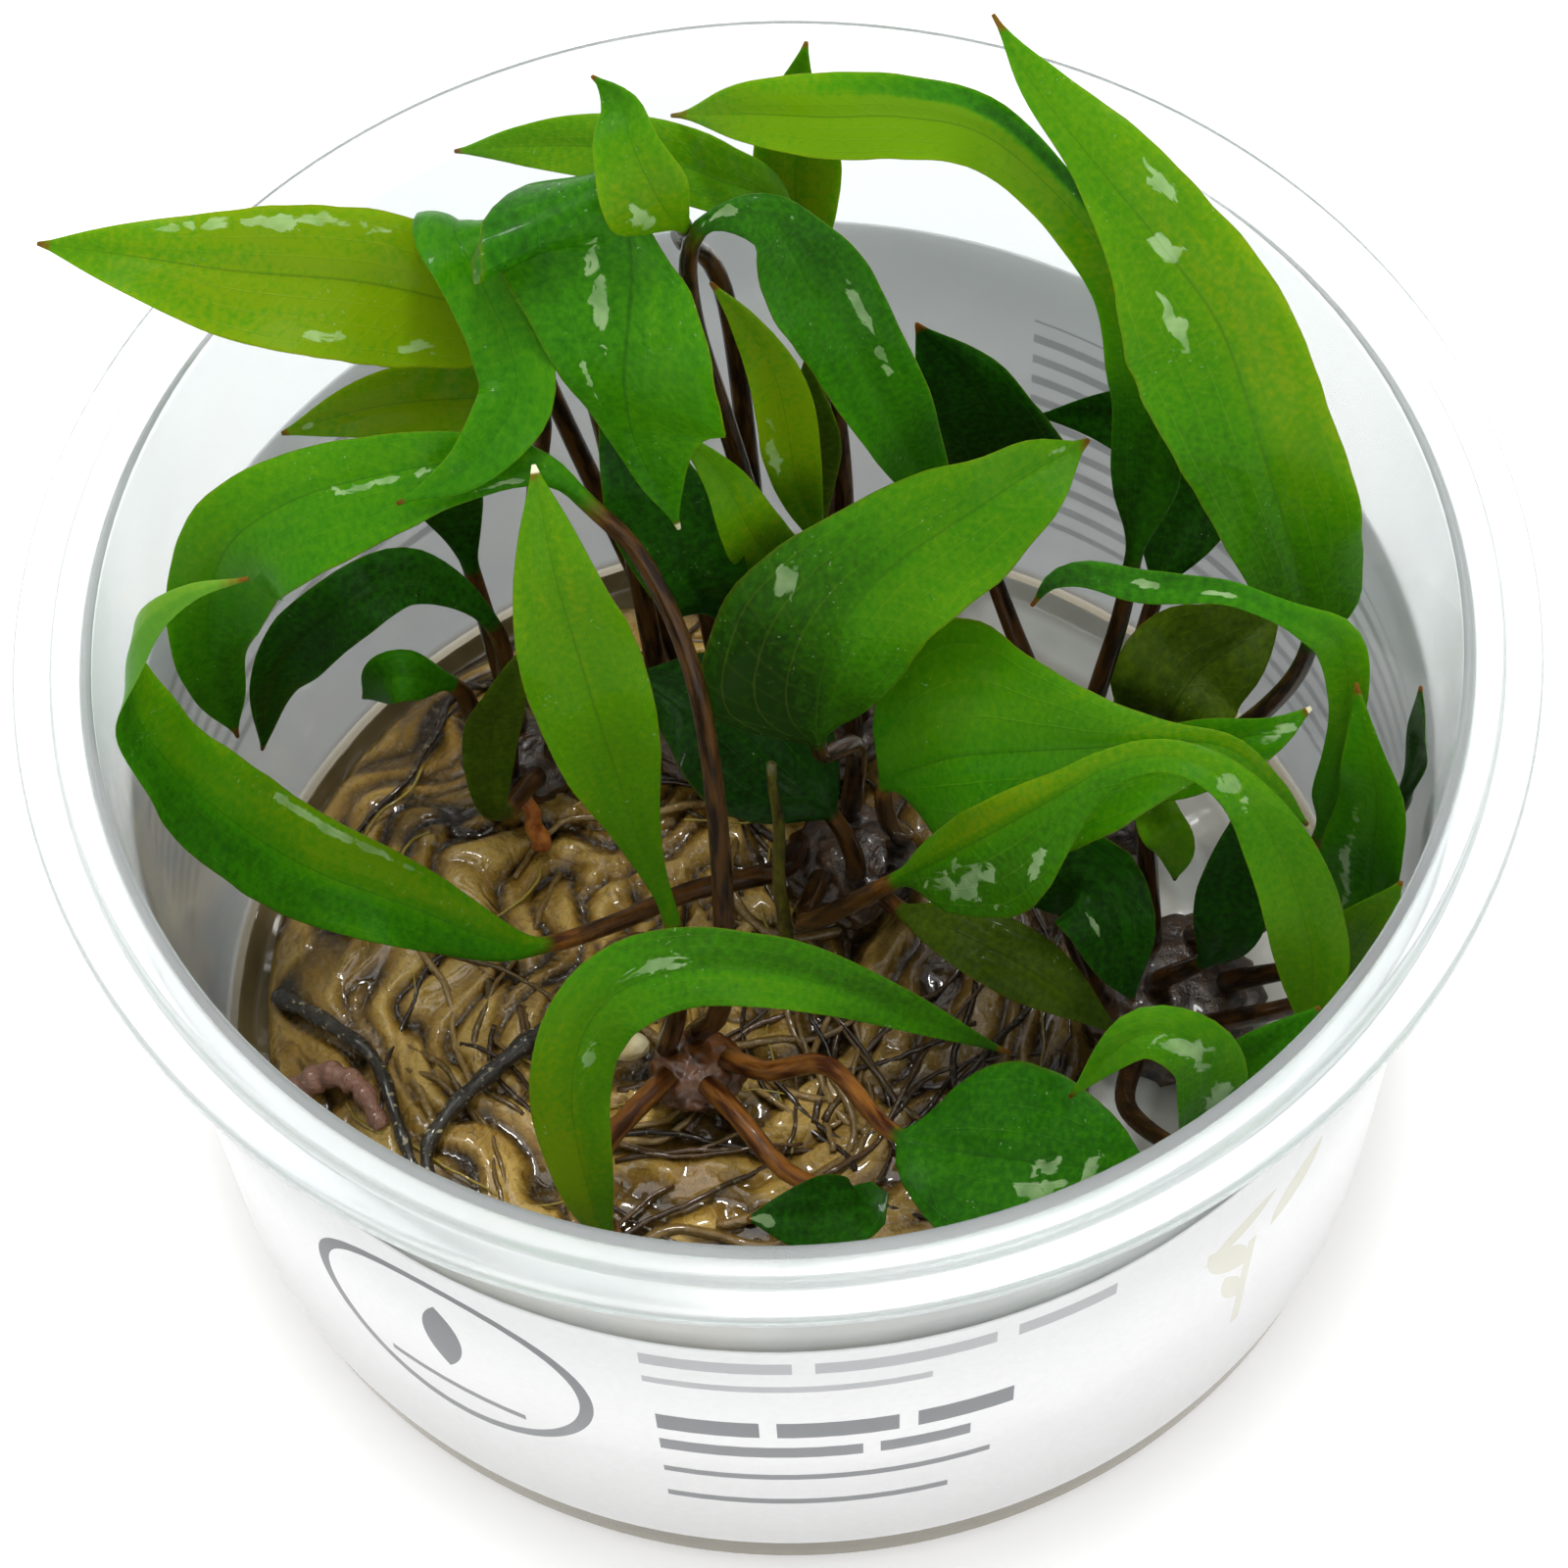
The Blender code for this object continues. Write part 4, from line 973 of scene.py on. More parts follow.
def leaf_finish(name, tones, vein, under):
    """One leaf colouring: its tones from shade to light, its veins and its underside."""
    recipe = Recipe(name)
    number, blend = recipe.number, recipe.blend

    def ramp(value, start, end, low=0.0, high=1.0):
        """Rises smoothly from low to high while the value goes from start to end."""
        return recipe.ramp(value, start, end, low, high, "SMOOTHSTEP")

    def grain(size, detail, stretch=(1.0, 1.0, 1.0), twist=0.0):
        """Noise on the leaf's own surface, whose places are already in millimetres."""
        mapped = recipe.add("Mapping", {"Vector": surface, "Scale": stretch}).outputs["Vector"]
        return recipe.cloud(mapped, 1000.0 * size, detail, Distortion=twist)

    def tone_scale(value):
        """The leaf's colour for a level of painted light and shade, from 0, deep shade, to 1, yellow green.
        """
        made = recipe.add("ValToRGB", {"Fac": value})
        points = made.color_ramp.elements
        for place, _ in tones[1:-1]:
            points.new(place)
        for point, (_, code) in zip(points, tones):
            point.color = colour(code)
        return made.outputs["Color"]

    surface = recipe.attribute("surface")
    across, along, underside = recipe.split(recipe.attribute("blade"))
    level, water, bead = recipe.split(recipe.attribute("shade"))
    side = number("ABSOLUTE", across)
    along_mm = recipe.split(surface)[1]

    clouds = grain(CLOUD_SIZE, 2.0, (1.0, 0.5, 1.0))
    mottle = grain(MOTTLE_SIZE, 2.0)
    streaks = grain(1.1, 1.0, (1.0, 0.12, 1.0))
    long_vein = ramp(number("PINGPONG", side, VEIN_STEP / 2), 0.0, 0.016, 1.0, 0.0)
    cross_way = number("MULTIPLY_ADD", side, -4.5, along_mm)
    cross_vein = ramp(number("PINGPONG", cross_way, 0.9), 0.0, 0.22, 1.0, 0.0)
    midrib = ramp(side, 0.0, 0.035, 1.0, 0.0)
    margin = ramp(side, 0.955, 0.99)
    on_blade = ramp(along, -0.05, 0.02)
    tip = ramp(number("MULTIPLY_ADD", grain(0.8, 1.0), 0.03, along), 0.985, 1.005)
    tip_bead = number("MULTIPLY", ramp(along, 0.984, 0.99), bead)

    # The level is painted light and shade from the table of tones; random clouds, mottle and streaks vary it.
    for noise_field, weight in ((clouds, 0.36), (mottle, 0.55), (streaks, 0.22)):
        level = number("MULTIPLY_ADD", noise_field, weight, number("SUBTRACT", level, weight / 2))
    tone = tone_scale(level)
    for mask, depth, ink in (
            (cross_vein, 0.02, vein), (long_vein, 0.06, vein), (midrib, 0.40, tones[1][1]),
            (margin, 0.30, "#4A3A0A"), (underside, 0.40, under), (tip, 0.85, "#6E3410"),
            (tip_bead, 1.0, "#EDE6BE")):
        tone = blend(number("MULTIPLY", mask, depth), tone, ink)

    stalk_grain = ramp(grain(0.6, 2.0, (1.0, 0.15, 1.0)), 0.35, 0.65)
    stalk = blend(
        ramp(level, 0.0, 1.0), blend(stalk_grain, "#201206", "#523516"),
        blend(stalk_grain, "#44200A", "#8E5A22"))
    tone = blend(on_blade, stalk, tone)

    ragged = number("MULTIPLY_ADD", grain(WET_EDGE, 4.0, (1.0, 0.6, 1.0), 1.0), 0.9, water)
    wet_film_and_sheen = ramp(ragged, 0.99, 1.04)
    drop = ramp(grain(DROPLET_SIZE, 1.0), 0.71, 0.74)
    droplets_and_glints = number("MULTIPLY", drop, ramp(grain(4.5, 1.0), 0.54, 0.66))
    wet_film_and_sheen = number("MULTIPLY", number("MAXIMUM", wet_film_and_sheen, number("MULTIPLY", droplets_and_glints, 0.6)), on_blade)
    # Painted reflection: on the wet patches and droplets the colour turns a pale silvery green, the shine of
    # light on water, beside the real gloss that the smooth coat gives.
    painted_reflection = number("MULTIPLY", wet_film_and_sheen, ramp(grain(2.2, 2.0), 0.3, 0.7, 0.25, 0.62))
    wet_stalk = number("MULTIPLY", number("SUBTRACT", 1.0, on_blade), 0.7)
    relief = number("MULTIPLY_ADD", long_vein, 0.6, number("MULTIPLY", cross_vein, 0.25))
    relief = number("MULTIPLY_ADD", mottle, 0.5, relief)
    return recipe.finished({
        "Base Color": blend(painted_reflection, tone, "#A4C088"),
        "Roughness": ramp(wet_film_and_sheen, 0.0, 1.0, 0.40, 0.20),
        "Normal": recipe.bump(relief, 0.35, 0.15),
        "Coat Weight": number("MAXIMUM", ramp(wet_film_and_sheen, 0.0, 1.0, 0.12, 1.0), wet_stalk),
        "Specular IOR Level": 0.04,
        "Coat Roughness": 0.06,
        "Coat IOR": 1.33,
        "Subsurface Weight": 0.2,
        "Subsurface Radius": (0.6, 1.0, 0.2),
        "Subsurface Scale": 0.0012,
    })


LEAF_FINISHES = {
    "leaf_bright": leaf_finish("wet_young_leaf", YOUNG_TONES, "#A8B83A", "#7E9A34"),
    "leaf_green": leaf_finish("wet_green_leaf", GREEN_TONES, "#84A830", "#5E8A34"),
    "leaf_dark": leaf_finish("wet_dark_leaf", SHADED_TONES, "#5C9A3C", "#3C6E34"),
    "leaf_olive": leaf_finish("wet_shaded_leaf", OLIVE_TONES, "#7C8534", "#4C5428"),
}
print("leaf materials:", [finish.name for finish in LEAF_FINISHES.values()])


# %% [markdown]
# ## Leaves
#
# Every leaf is one growth, from the foot of its stalk to its tip, so it is one tube: round along the stalk
# and pressed flat along the blade. The table says for each leaf where its midrib runs, how wide each half
# is and which way its upper side looks. It repeats the routes of the CAD leaves, so each fine leaf lies in
# its solid. The fine leaf has many more sides and rings, which leaves room for a ruffled edge, a grooved
# midrib and soft buckles in the blade.

# %% What a leaf is
UP_FRONT = (0.0, -0.5, 0.85)


class Leaf(NamedTuple):
    """One leaf. Its midrib runs from foot, a place on its crown, through route to the tip."""

    crown: str
    foot: tuple
    route: list
    stalk: float  # share of the route that is stalk
    left: float | tuple  # greatest half width left of the midrib, or half widths along the blade
    right: float | tuple
    widest: float = 0.45  # where the blade is widest, from its foot to its tip
    looks: tuple = (UP_FRONT,)  # the way the upper side looks, from blade foot to tip
    fold: float = 8.0  # degrees that each half lifts from flat
    finish: str = "leaf_green"
    ruffle: float = 0.45  # how far the edge waves


LEAVES = {
    "leaf_far_left": Leaf(
        "crown_back", (-8.0, 20.0),
        [(-10, 23, 38), (-13, 24, 58), (-20, 23, 64), (-26, 23, 67), (-34, 23, 69), (-41, 24, 70),
         (-47, 26, 69)],
        0.52, 5.4, 4.8, 0.46, finish="leaf_bright"),
    "leaf_hanging_strip": Leaf(
        "crown_back", (-6.0, 22.0),
        [(-14, 27, 45), (-17, 27, 62), (-19.2, 25.2, 69.8), (-19.5, 22.9, 71.9), (-18.6, 20.9, 71.8),
         (-17.5, 18.9, 70.2), (-16.3, 16.4, 68.5), (-16, 13.6, 67), (-17.6, 11, 66), (-20, 8.9, 65),
         (-24.2, 8.1, 63)],
        0.62, (0, 2.4, 2.7, 2.5, 2.6, 2.3, 1.3, 0), (0, 2.4, 2.7, 2.5, 2.6, 2.3, 1.3, 0), 0.5,
        ((0.1, 0.8, 0.5), (0.0, -0.2, 1.0), (-0.1, -0.8, 0.5), (-0.2, -0.6, 0.8))),
    "leaf_folded_top": Leaf(
        "crown_back", (-3.5, 19.5),
        [(-7, 25, 48), (-9, 26, 64), (-10.5, 25.3, 73), (-9.8, 22.6, 77.6), (-8.3, 20, 76.6),
         (-8, 18.3, 73.8), (-8.5, 15.5, 71), (-9, 13.5, 67), (-8.5, 12.5, 62), (-6, 9.5, 56)],
        0.62, (0, 0.3, 0.3, 1.1, 4.2, 6.0, 6.9, 7.0, 4.4, 2.0, 0),
        (0, 4, 8.5, 10.5, 9.3, 7.0, 4.6, 2.8, 1.4, 0.8, 0),
        0.5, ((-0.1, 0.8, 0.5), (-0.4, -0.3, 1.0), (-0.3, -0.8, 0.5), (0.0, -0.9, 0.4)), 11.0, "leaf_dark"),
    "leaf_curled_tip": Leaf(
        "crown_back", (-0.5, 22.0),
        [(-2, 27, 55), (-4.8, 25, 67), (-4.5, 20.6, 74.8), (-5.6, 19.0, 79.2), (-6.7, 19.5, 82.3),
         (-7.6, 21.2, 84), (-8, 23.4, 84.7), (-8.8, 24, 85.9), (-9.8, 23.9, 87.4)],
        0.8, (0, 3.2, 3.5, 2.6, 1.4, 0), (0, 1.3, 2.3, 1.8, 1.1, 0),
        0.35, ((0.0, -0.9, 0.4),), 10.0, "leaf_bright"),
    "leaf_back_left": Leaf(
        "crown_back", (2.5, 21.5),
        [(4, 26, 40), (2, 27.5, 64), (-2.5, 27, 71), (-9, 29, 72), (-15, 31, 70), (-19.5, 33, 67)],
        0.62, 2.4, 2.5, finish="leaf_bright"),
    "leaf_back_upright": Leaf(
        "crown_back", (5.0, 20.5),
        [(5, 27, 40), (3, 29, 62), (3, 30, 69), (3, 30, 75), (4, 31, 80)],
        0.66, 3.0, 3.0, 0.4, ((0.0, -0.9, 0.4),), finish="leaf_bright"),
    "leaf_long_arch": Leaf(
        "crown_right_back", (19.5, 14.5),
        [(22, 14, 26), (24, 15.4, 36.1), (25.6, 18, 50.5), (24.6, 18.5, 64), (21.7, 20.2, 72.5),
         (15.5, 23.9, 78.3), (10, 24.6, 80.1), (5, 25, 80), (0, 27, 78), (-5, 30, 74)],
        0.3, (0, 2.0, 2.5, 2.4, 2.2, 2.1, 2.1, 2.5, 2.8, 1.8, 0),
        (0, 2.0, 2.5, 2.3, 1.8, 1.6, 2.0, 2.6, 2.9, 2.0, 0),
        0.5, ((-0.3, -0.9, 0.2), (-0.2, -0.7, 0.6), (0.0, -0.5, 0.85))),
    "leaf_tall_right": Leaf(
        "crown_right_back", (24.5, 14.0),
        [(33, 9, 30), (35.6, 5.5, 44.2), (34.6, 5.2, 53.3), (32.3, 7.7, 63.8), (29.9, 12.5, 71.2),
         (26.4, 15.6, 76.4), (22.5, 18.8, 80.9), (18.4, 23.8, 83.9), (16, 28.1, 86)],
        0.4, (0, 2.6, 3.6, 4.6, 5.6, 6.6, 6.0, 3.4, 1.6, 1.0, 0),
        (0, 3.7, 4.6, 5.1, 4.9, 4.6, 4.4, 4.0, 3.4, 1.9, 0),
        0.5, finish="leaf_bright"),
    "leaf_drooping_centre": Leaf(
        "crown_back", (2.5, 18.0),
        [(-2, 22.1, 44.8), (-4.3, 19.9, 65.7), (-3.7, 19.4, 75.9), (1, 19, 78), (4.2, 17.8, 72),
         (6.6, 16, 65.1), (9.1, 15.1, 56.9), (11.6, 15, 48)],
        0.62, (0, 1.0, 1.8, 2.8, 3.1, 3.1, 3.0, 2.8, 2.4, 1.6, 0),
        (0, 1.8, 3.4, 4.2, 3.9, 3.3, 3.0, 2.6, 2.2, 1.5, 0),
        0.5, ((0.2, -0.5, 0.85), (0.1, -0.6, 0.8))),
    "leaf_pale_veined": Leaf(
        "crown_back", (5.0, 17.5),
        [(4, 16, 38), (2, 15, 52), (1, 16.5, 62), (-1, 17.5, 68), (-3, 18, 72)],
        0.5, 2.0, 2.0, 0.5, ((0.1, -0.9, 0.4),), 16.0, "leaf_bright"),
    "leaf_pale_short": Leaf(
        "crown_back", (0.5, 16.5),
        [(3, 14, 36), (-1, 11, 52), (-3, 12, 58), (-6, 13, 63)],
        0.55, 2.2, 2.2, 0.4, ((0.2, -0.8, 0.5),), finish="leaf_bright"),
    "leaf_broad_centre": Leaf(
        "crown_middle", (4.5, 11.0),
        [(5, 9, 28), (2.6, 3.2, 37), (2.5, 3.3, 42.9), (3.2, 4, 47.3), (5.1, 5.5, 51.2), (8.4, 7.1, 54.5),
         (13.5, 8.7, 57.7), (17.5, 10.4, 59.4), (21.2, 12.1, 60.1)],
        0.44, (0, 6.8, 7.9, 7.7, 6.6, 5.2, 4.5, 3.8, 2.6, 1.8, 0),
        (0, 2.6, 4.0, 5.0, 5.2, 5.2, 5.2, 4.8, 3.9, 2.6, 0),
        0.5, finish="leaf_bright"),
    "leaf_broad_right": Leaf(
        "crown_middle", (8.0, 9.0),
        [(7, 4, 26), (6.9, 1.5, 35.3), (9.9, 0, 40.3), (13.1, -1.4, 43.5), (20.1, -4, 47.8), (24.5, -5.2, 50),
         (29, -6.2, 50.6), (32.1, -8.1, 48.3), (34.5, -9.3, 44.6)],
        0.36, (0, 5.0, 8.5, 8.8, 6.5, 4.2, 2.2, 1.0, 0.8, 0.6, 0),
        (0, 4.5, 6.8, 7.2, 7.0, 6.6, 5.0, 3.0, 1.2, 0.7, 0),
        0.5, fold=5.0),
    "leaf_arching_right": Leaf(
        "crown_middle", (2.2, 5.8),
        [(1, 0, 20), (7, -3.9, 31.5), (10.2, -6, 37.8), (13.4, -7.5, 43.3), (17.9, -8.4, 49.2),
         (21.1, -8.3, 52.2), (24.3, -8.5, 53.8), (27.4, -9.8, 54.2), (29.8, -11.6, 53.2),
         (31.7, -13.5, 50.2), (33.2, -15.6, 46.1), (34.1, -17.7, 40.7), (33.4, -19.7, 34.8)],
        0.28, (0, 1.4, 2.0, 1.9, 1.3, 1.0, 1.3, 2.2, 2.6, 2.2, 0),
        (0, 3.4, 5.6, 5.0, 2.0, 1.1, 1.4, 2.2, 2.6, 2.2, 0),
        0.5, fold=8.0, finish="leaf_bright"),
    "leaf_twisted_right": Leaf(
        "crown_right", (28.0, 3.0),
        [(33, -4, 26), (35.6, -4.5, 34.7), (36.8, -4.4, 45.8), (37.2, -3.7, 53.2), (36.4, -3.6, 58.6),
         (34.4, -3.5, 60.9), (31.5, -3.1, 62.9), (29.1, -2.3, 63.4), (25.9, -1.7, 63.2), (23.4, -1.2, 63),
         (20.3, -0.2, 63.1), (18.1, -0.1, 62.4), (16.7, -0.3, 59.8)],
        0.38, (0, 1.2, 1.1, 1.1, 1.4, 1.6, 0.8, 0.8, 1.1, 0.8, 0),
        (0, 1.2, 1.1, 1.1, 1.4, 1.6, 0.8, 0.8, 1.1, 0.8, 0),
        0.5, ((-0.3, -0.7, 0.7), (0.0, -0.6, 0.8)), 10.0),
    "leaf_mid_right": Leaf(
        "crown_right", (22.0, 3.0),
        [(19.5, 4, 28), (23, 0.5, 38), (27.5, -2, 44), (32, -3, 47), (35, -2, 48)],
        0.45, 1.7, 3.3, 0.6),
    "leaf_right_wall": Leaf(
        "crown_right", (30.0, -1.0),
        [(37.4, -8.3, 26.5), (38.6, -8, 36), (38.9, -8, 46), (37.5, -5.4, 56.3)],
        0.26, 3.4, 2.6, 0.5, ((-0.5, -0.7, 0.5),)),
    "leaf_right_dark_tip": Leaf(
        "crown_right", (30.0, 2.0),
        [(39.5, -2, 30), (42, -4.5, 46), (41.5, -7, 58)],
        0.6, 1.3, 1.3, 0.5, ((-0.9, -0.4, 0.2),), 12.0, "leaf_dark"),
    "leaf_right_small": Leaf(
        "crown_right", (27.3, -4.6),
        [(35, -12, 27), (37.5, -13.5, 37), (40, -14.5, 46)],
        0.5, 2.4, 2.4, 0.45, finish="leaf_bright"),
    "leaf_front_left": Leaf(
        "crown_middle", (0.8, 9.0),
        [(-0.5, 5.5, 18), (-7, 3.5, 19), (-12.5, 0, 21), (-18.5, -3, 24), (-25.5, -3, 30), (-33, -3, 37),
         (-39, -3, 47), (-42, -3, 57), (-41, -3, 66), (-37.5, -2.5, 70), (-33.5, -1.5, 70)],
        0.28, 3.7, 3.7, 0.4, (UP_FRONT, (0.5, -0.6, 0.6), (0.8, -0.5, 0.3), (-0.2, 0.6, -0.8)), 12.0),
    "leaf_left_wide": Leaf(
        "crown_front", (-7.0, -6.3),
        [(-5, -8, 24), (-4.5, -4, 38), (-5.5, 2, 49), (-8.4, 7.6, 55), (-11.8, 9.2, 60),
         (-14.3, 10.2, 62.8), (-18.1, 11.1, 63), (-23.9, 10.7, 63), (-31.2, 11.1, 59.5),
         (-36.2, 10.8, 54), (-38, 10, 44), (-37, 10, 32)],
        0.5, (0, 1.6, 3.0, 4.4, 5.4, 5.4, 4.6, 3.6, 2.6, 1.6, 0),
        (0, 1.2, 2.0, 2.6, 3.0, 3.2, 3.0, 2.8, 2.4, 1.6, 0),
        0.5, (UP_FRONT, (-0.2, -0.5, 0.85), (0.5, -0.8, 0.3))),
    "leaf_front_upright": Leaf(
        "crown_front", (-9.0, -7.0),
        [(-8, -8, 24), (-8, -7, 33), (-10, -5, 42), (-12, -3, 54), (-14, 1, 64), (-15, 6, 70)],
        0.3, 4.0, 4.0, 0.6, ((0.0, -0.8, 0.6),), finish="leaf_bright"),
    "leaf_front_loop": Leaf(
        "crown_front", (-9.0, -9.2),
        [(-14, -16, 17), (-13, -25, 22), (-14, -27, 30), (-15, -24, 40), (-13, -21, 46), (-8, -20, 49),
         (-1, -20, 48), (6, -20, 43), (14, -19, 34)],
        0.3, 3.0, 2.8, 0.4, ((0.1, -0.8, 0.5), UP_FRONT), finish="leaf_bright"),
    "leaf_front_round": Leaf(
        "crown_front", (-4.8, -8.3),
        [(-2, -11, 19), (2, -12.5, 22), (6, -19, 24), (11, -22, 26), (18, -25, 29), (23, -28, 33)],
        0.48, 6.5, 6.5, 0.4, ((0.0, -0.3, 0.95),), finish="leaf_dark"),
    "leaf_small_curl": Leaf(
        "crown_right", (23.5, -5.5),
        [(22, -17, 22), (25.5, -26, 32), (26.5, -27, 40), (26, -26.5, 46), (22, -26, 48), (17.5, -27, 42)],
        0.5, 2.4, 2.4, 0.45, ((0.4, -0.7, 0.5), UP_FRONT), finish="leaf_bright"),
    "leaf_dark_folded": Leaf(
        "crown_right", (21.0, -1.5),
        [(18.5, -2, 24), (19.8, -3.7, 29.3), (21.2, -6, 28.8), (21.9, -7.8, 26.4), (22.9, -9.1, 22.6)],
        0.45, 3.8, 3.2, 0.4, ((0.0, -0.6, 0.8),), 16.0, "leaf_dark"),
    "leaf_olive_low": Leaf(
        "crown_middle", (7.0, 5.8),
        [(7, 1, 20), (12, -3, 22), (17, -6, 21), (22, -9, 18)],
        0.3, 2.6, 2.6, 0.45, ((0.0, -0.2, 1.0),), 6.0, "leaf_olive"),
    "leaf_dark_centre": Leaf(
        "crown_middle", (4.6, 5.6),
        [(4.5, 4, 22), (3, 4.5, 27), (-1, 8, 29), (-5, 11, 31), (-10, 14, 31)],
        0.4, 5.4, 5.4, 0.42, ((0.1, -0.4, 0.9),), finish="leaf_dark"),
    "leaf_shaded_back": Leaf(
        "crown_back", (-3.5, 17.0),
        [(-3.5, 18, 30), (-4, 12, 42), (-4.5, 10.5, 47), (-7, 12, 54), (-9, 15, 60), (-11, 18, 64)],
        0.5, 3.8, 3.8, 0.45, ((0.0, -0.9, 0.4),), 10.0, "leaf_dark"),
    "leaf_small_left": Leaf(
        "crown_left", (-15.7, 18.0),
        [(-16, 22, 38), (-15, 22, 53), (-20, 20, 57), (-26, 19, 58), (-32, 18, 57)],
        0.64, 2.6, 2.6, 0.5, finish="leaf_bright"),
    "leaf_shaded_arc": Leaf(
        "crown_left", (-19.2, 16.0),
        [(-19, 17, 32), (-24, 17, 40), (-29, 15, 40), (-34, 15, 32), (-36, 15, 22)],
        0.35, 2.6, 2.6, 0.5, (UP_FRONT, (0.4, -0.7, 0.6)), finish="leaf_dark"),
    "leaf_tiny_curl": Leaf(
        "crown_left", (-21.0, 17.5),
        [(-22, 20, 20), (-25, 19, 24), (-27, 19, 24), (-29, 20, 20)],
        0.4, 1.8, 1.8, 0.5),
    "leaf_olive_strip": Leaf(
        "crown_left", (-17.3, 15.6),
        [(-20, 10, 20), (-20, 11, 28), (-18, 11, 36), (-16, 12, 40)],
        0.2, 1.9, 1.9, 0.5, ((0.0, -0.9, 0.3),), 6.0, "leaf_olive"),
    "leaf_olive_right": Leaf(
        "crown_right_back", (25.0, 16.5),
        [(27, 14, 22), (29, 16, 24), (32, 17, 26), (35, 20, 26)],
        0.3, 5.2, 4.0, 0.45, finish="leaf_olive"),
    "leaf_back_wall": Leaf(
        "crown_right_back", (20.0, 17.5),
        [(15, 28, 22), (15.4, 28.2, 32.2), (13.8, 28.5, 41.7), (10.6, 29.3, 49.2)],
        0.36, 4.8, 5.6, 0.5, ((-0.2, -0.9, 0.4),), 6.0, "leaf_dark"),
    "leaf_back_wall_right": Leaf(
        "crown_right_back", (23.0, 18.0),
        [(27, 24, 24), (29.2, 27.5, 29.4), (27.7, 30.5, 32.4), (23.8, 32.1, 32.2), (19, 33.2, 31.1)],
        0.4, 3.8, 3.8, 0.45, ((-0.5, -0.8, 0.3), (-0.2, -0.9, 0.4)), 6.0, "leaf_dark"),
    "leaf_brown_back": Leaf(
        "crown_back", (5.5, 19.0),
        [(3, 23, 36), (3, 24, 46), (3, 25, 52)],
        0.5, 2.2, 2.2, 0.5, ((0.0, -0.9, 0.4),), 6.0, "leaf_olive"),
    "leaf_dark_left_back": Leaf(
        "crown_left", (-18.5, 20.0),
        [(-21, 23, 34), (-22, 23, 44), (-21, 23, 52)],
        0.45, 2.4, 2.4, 0.5, ((0.0, -0.9, 0.4),), 6.0, "leaf_dark"),
    "leaf_small_right": Leaf(
        "crown_right", (25.0, 3.0),
        [(24.5, 4, 30), (25, -3, 36), (26, -4, 34), (26, -4, 30)],
        0.65, 1.6, 1.6, 0.5, ((0.0, -0.8, 0.5),), 6.0, "leaf_bright"),
    "leaf_shaded_right": Leaf(
        "crown_right", (25.0, -1.0),
        [(29, -6, 24), (30, -4, 30), (30, -3, 36)],
        0.4, 2.6, 2.6, 0.5, ((0.0, -0.8, 0.5),), 6.0, "leaf_dark"),
    "leaf_rim_strip": Leaf(
        "crown_right", (25.8, -6.0),
        [(28, -20, 32), (30, -23, 39), (34, -23, 45)],
        0.7, 1.6, 1.6, 0.4),
    "leaf_front_low": Leaf(
        "crown_front", (-6.3, -10.2),
        [(-4.5, -13, 17), (-1, -18, 17), (4, -22, 20), (0.5, -24, 22), (-4, -25, 24)],
        0.55, 2.6, 2.6, 0.5, ((0.0, -0.4, 0.9),), finish="leaf_dark"),
}
print("leaves in the table:", len(LEAVES))


# %% Walk along a midrib
CURVE_SAMPLES = 24
STALK_SEAT = 0.5


def stalk_foot(crown, spot):
    """The point just above a crown where a stalk starts."""
    middle, half = middle_and_half(crown)
    across = (spot[0] - middle.x) / half.x
    along = (spot[1] - middle.y) / half.y
    rise = half.z * math.sqrt(max(0.0, 1.0 - across ** 2 - along ** 2))
    return (*spot, middle.z + rise + STALK_SEAT)


def smooth_step(before, start, end, after, t):
    """The place between start and end on a smooth curve through four points or numbers."""
    return 0.5 * (
        2 * start
        + (end - before) * t
        + (2 * before - 5 * start + 4 * end - after) * t ** 2
        + (3 * start - before - 3 * end + after) * t ** 3
    )


def smooth_route(points):
    """Positions along a smooth curve through the points, with the length run at each."""
    held = [Vector(point) for point in points]
    held = [2 * held[0] - held[1]] + held + [2 * held[-1] - held[-2]]
    path = []
    for before, start, end, after in zip(held, held[1:], held[2:], held[3:]):
        for step in range(CURVE_SAMPLES):
            path.append(smooth_step(before, start, end, after, step / CURVE_SAMPLES))
    path.append(held[-2])
    run = [0.0]
    for first, second in zip(path, path[1:]):
        run.append(run[-1] + (second - first).length)
    return path, run


def at_share(path, run, share):
    """Position and direction at a share of the whole length."""
    goal = share * run[-1]
    place = 0
    while place < len(run) - 2 and run[place + 1] < goal:
        place += 1
    t = (goal - run[place]) / (run[place + 1] - run[place])
    spot = path[place].lerp(path[place + 1], t)
    before = path[max(place - 7, 0)]
    after = path[min(place + 8, len(path) - 1)]
    return spot, (after - before).normalized()


def run_value(values, along):
    """A value or vector at a share of the blade, blended between the values from its foot to its tip."""
    place = min(max(along, 0.0), 0.9999) * (len(values) - 1)
    index = int(place)
    return values[index] + (values[min(index + 1, len(values) - 1)] - values[index]) * (place - index)


def half_width(leaf, along, on_left):
    """Half width of the blade at a share of its length, in millimetres."""
    if along <= 0.0 or along >= 1.0:
        return 0.0
    widths = leaf.left if on_left else leaf.right
    if isinstance(widths, tuple):
        place = along * (len(widths) - 1)
        index = int(place)
        four = [widths[min(max(index + step, 0), len(widths) - 1)] for step in (-1, 0, 1, 2)]
        return max(0.0, smooth_step(*four, place - index))
    power = math.log(0.5) / math.log(leaf.widest)
    return widths * math.sin(math.pi * along ** power)
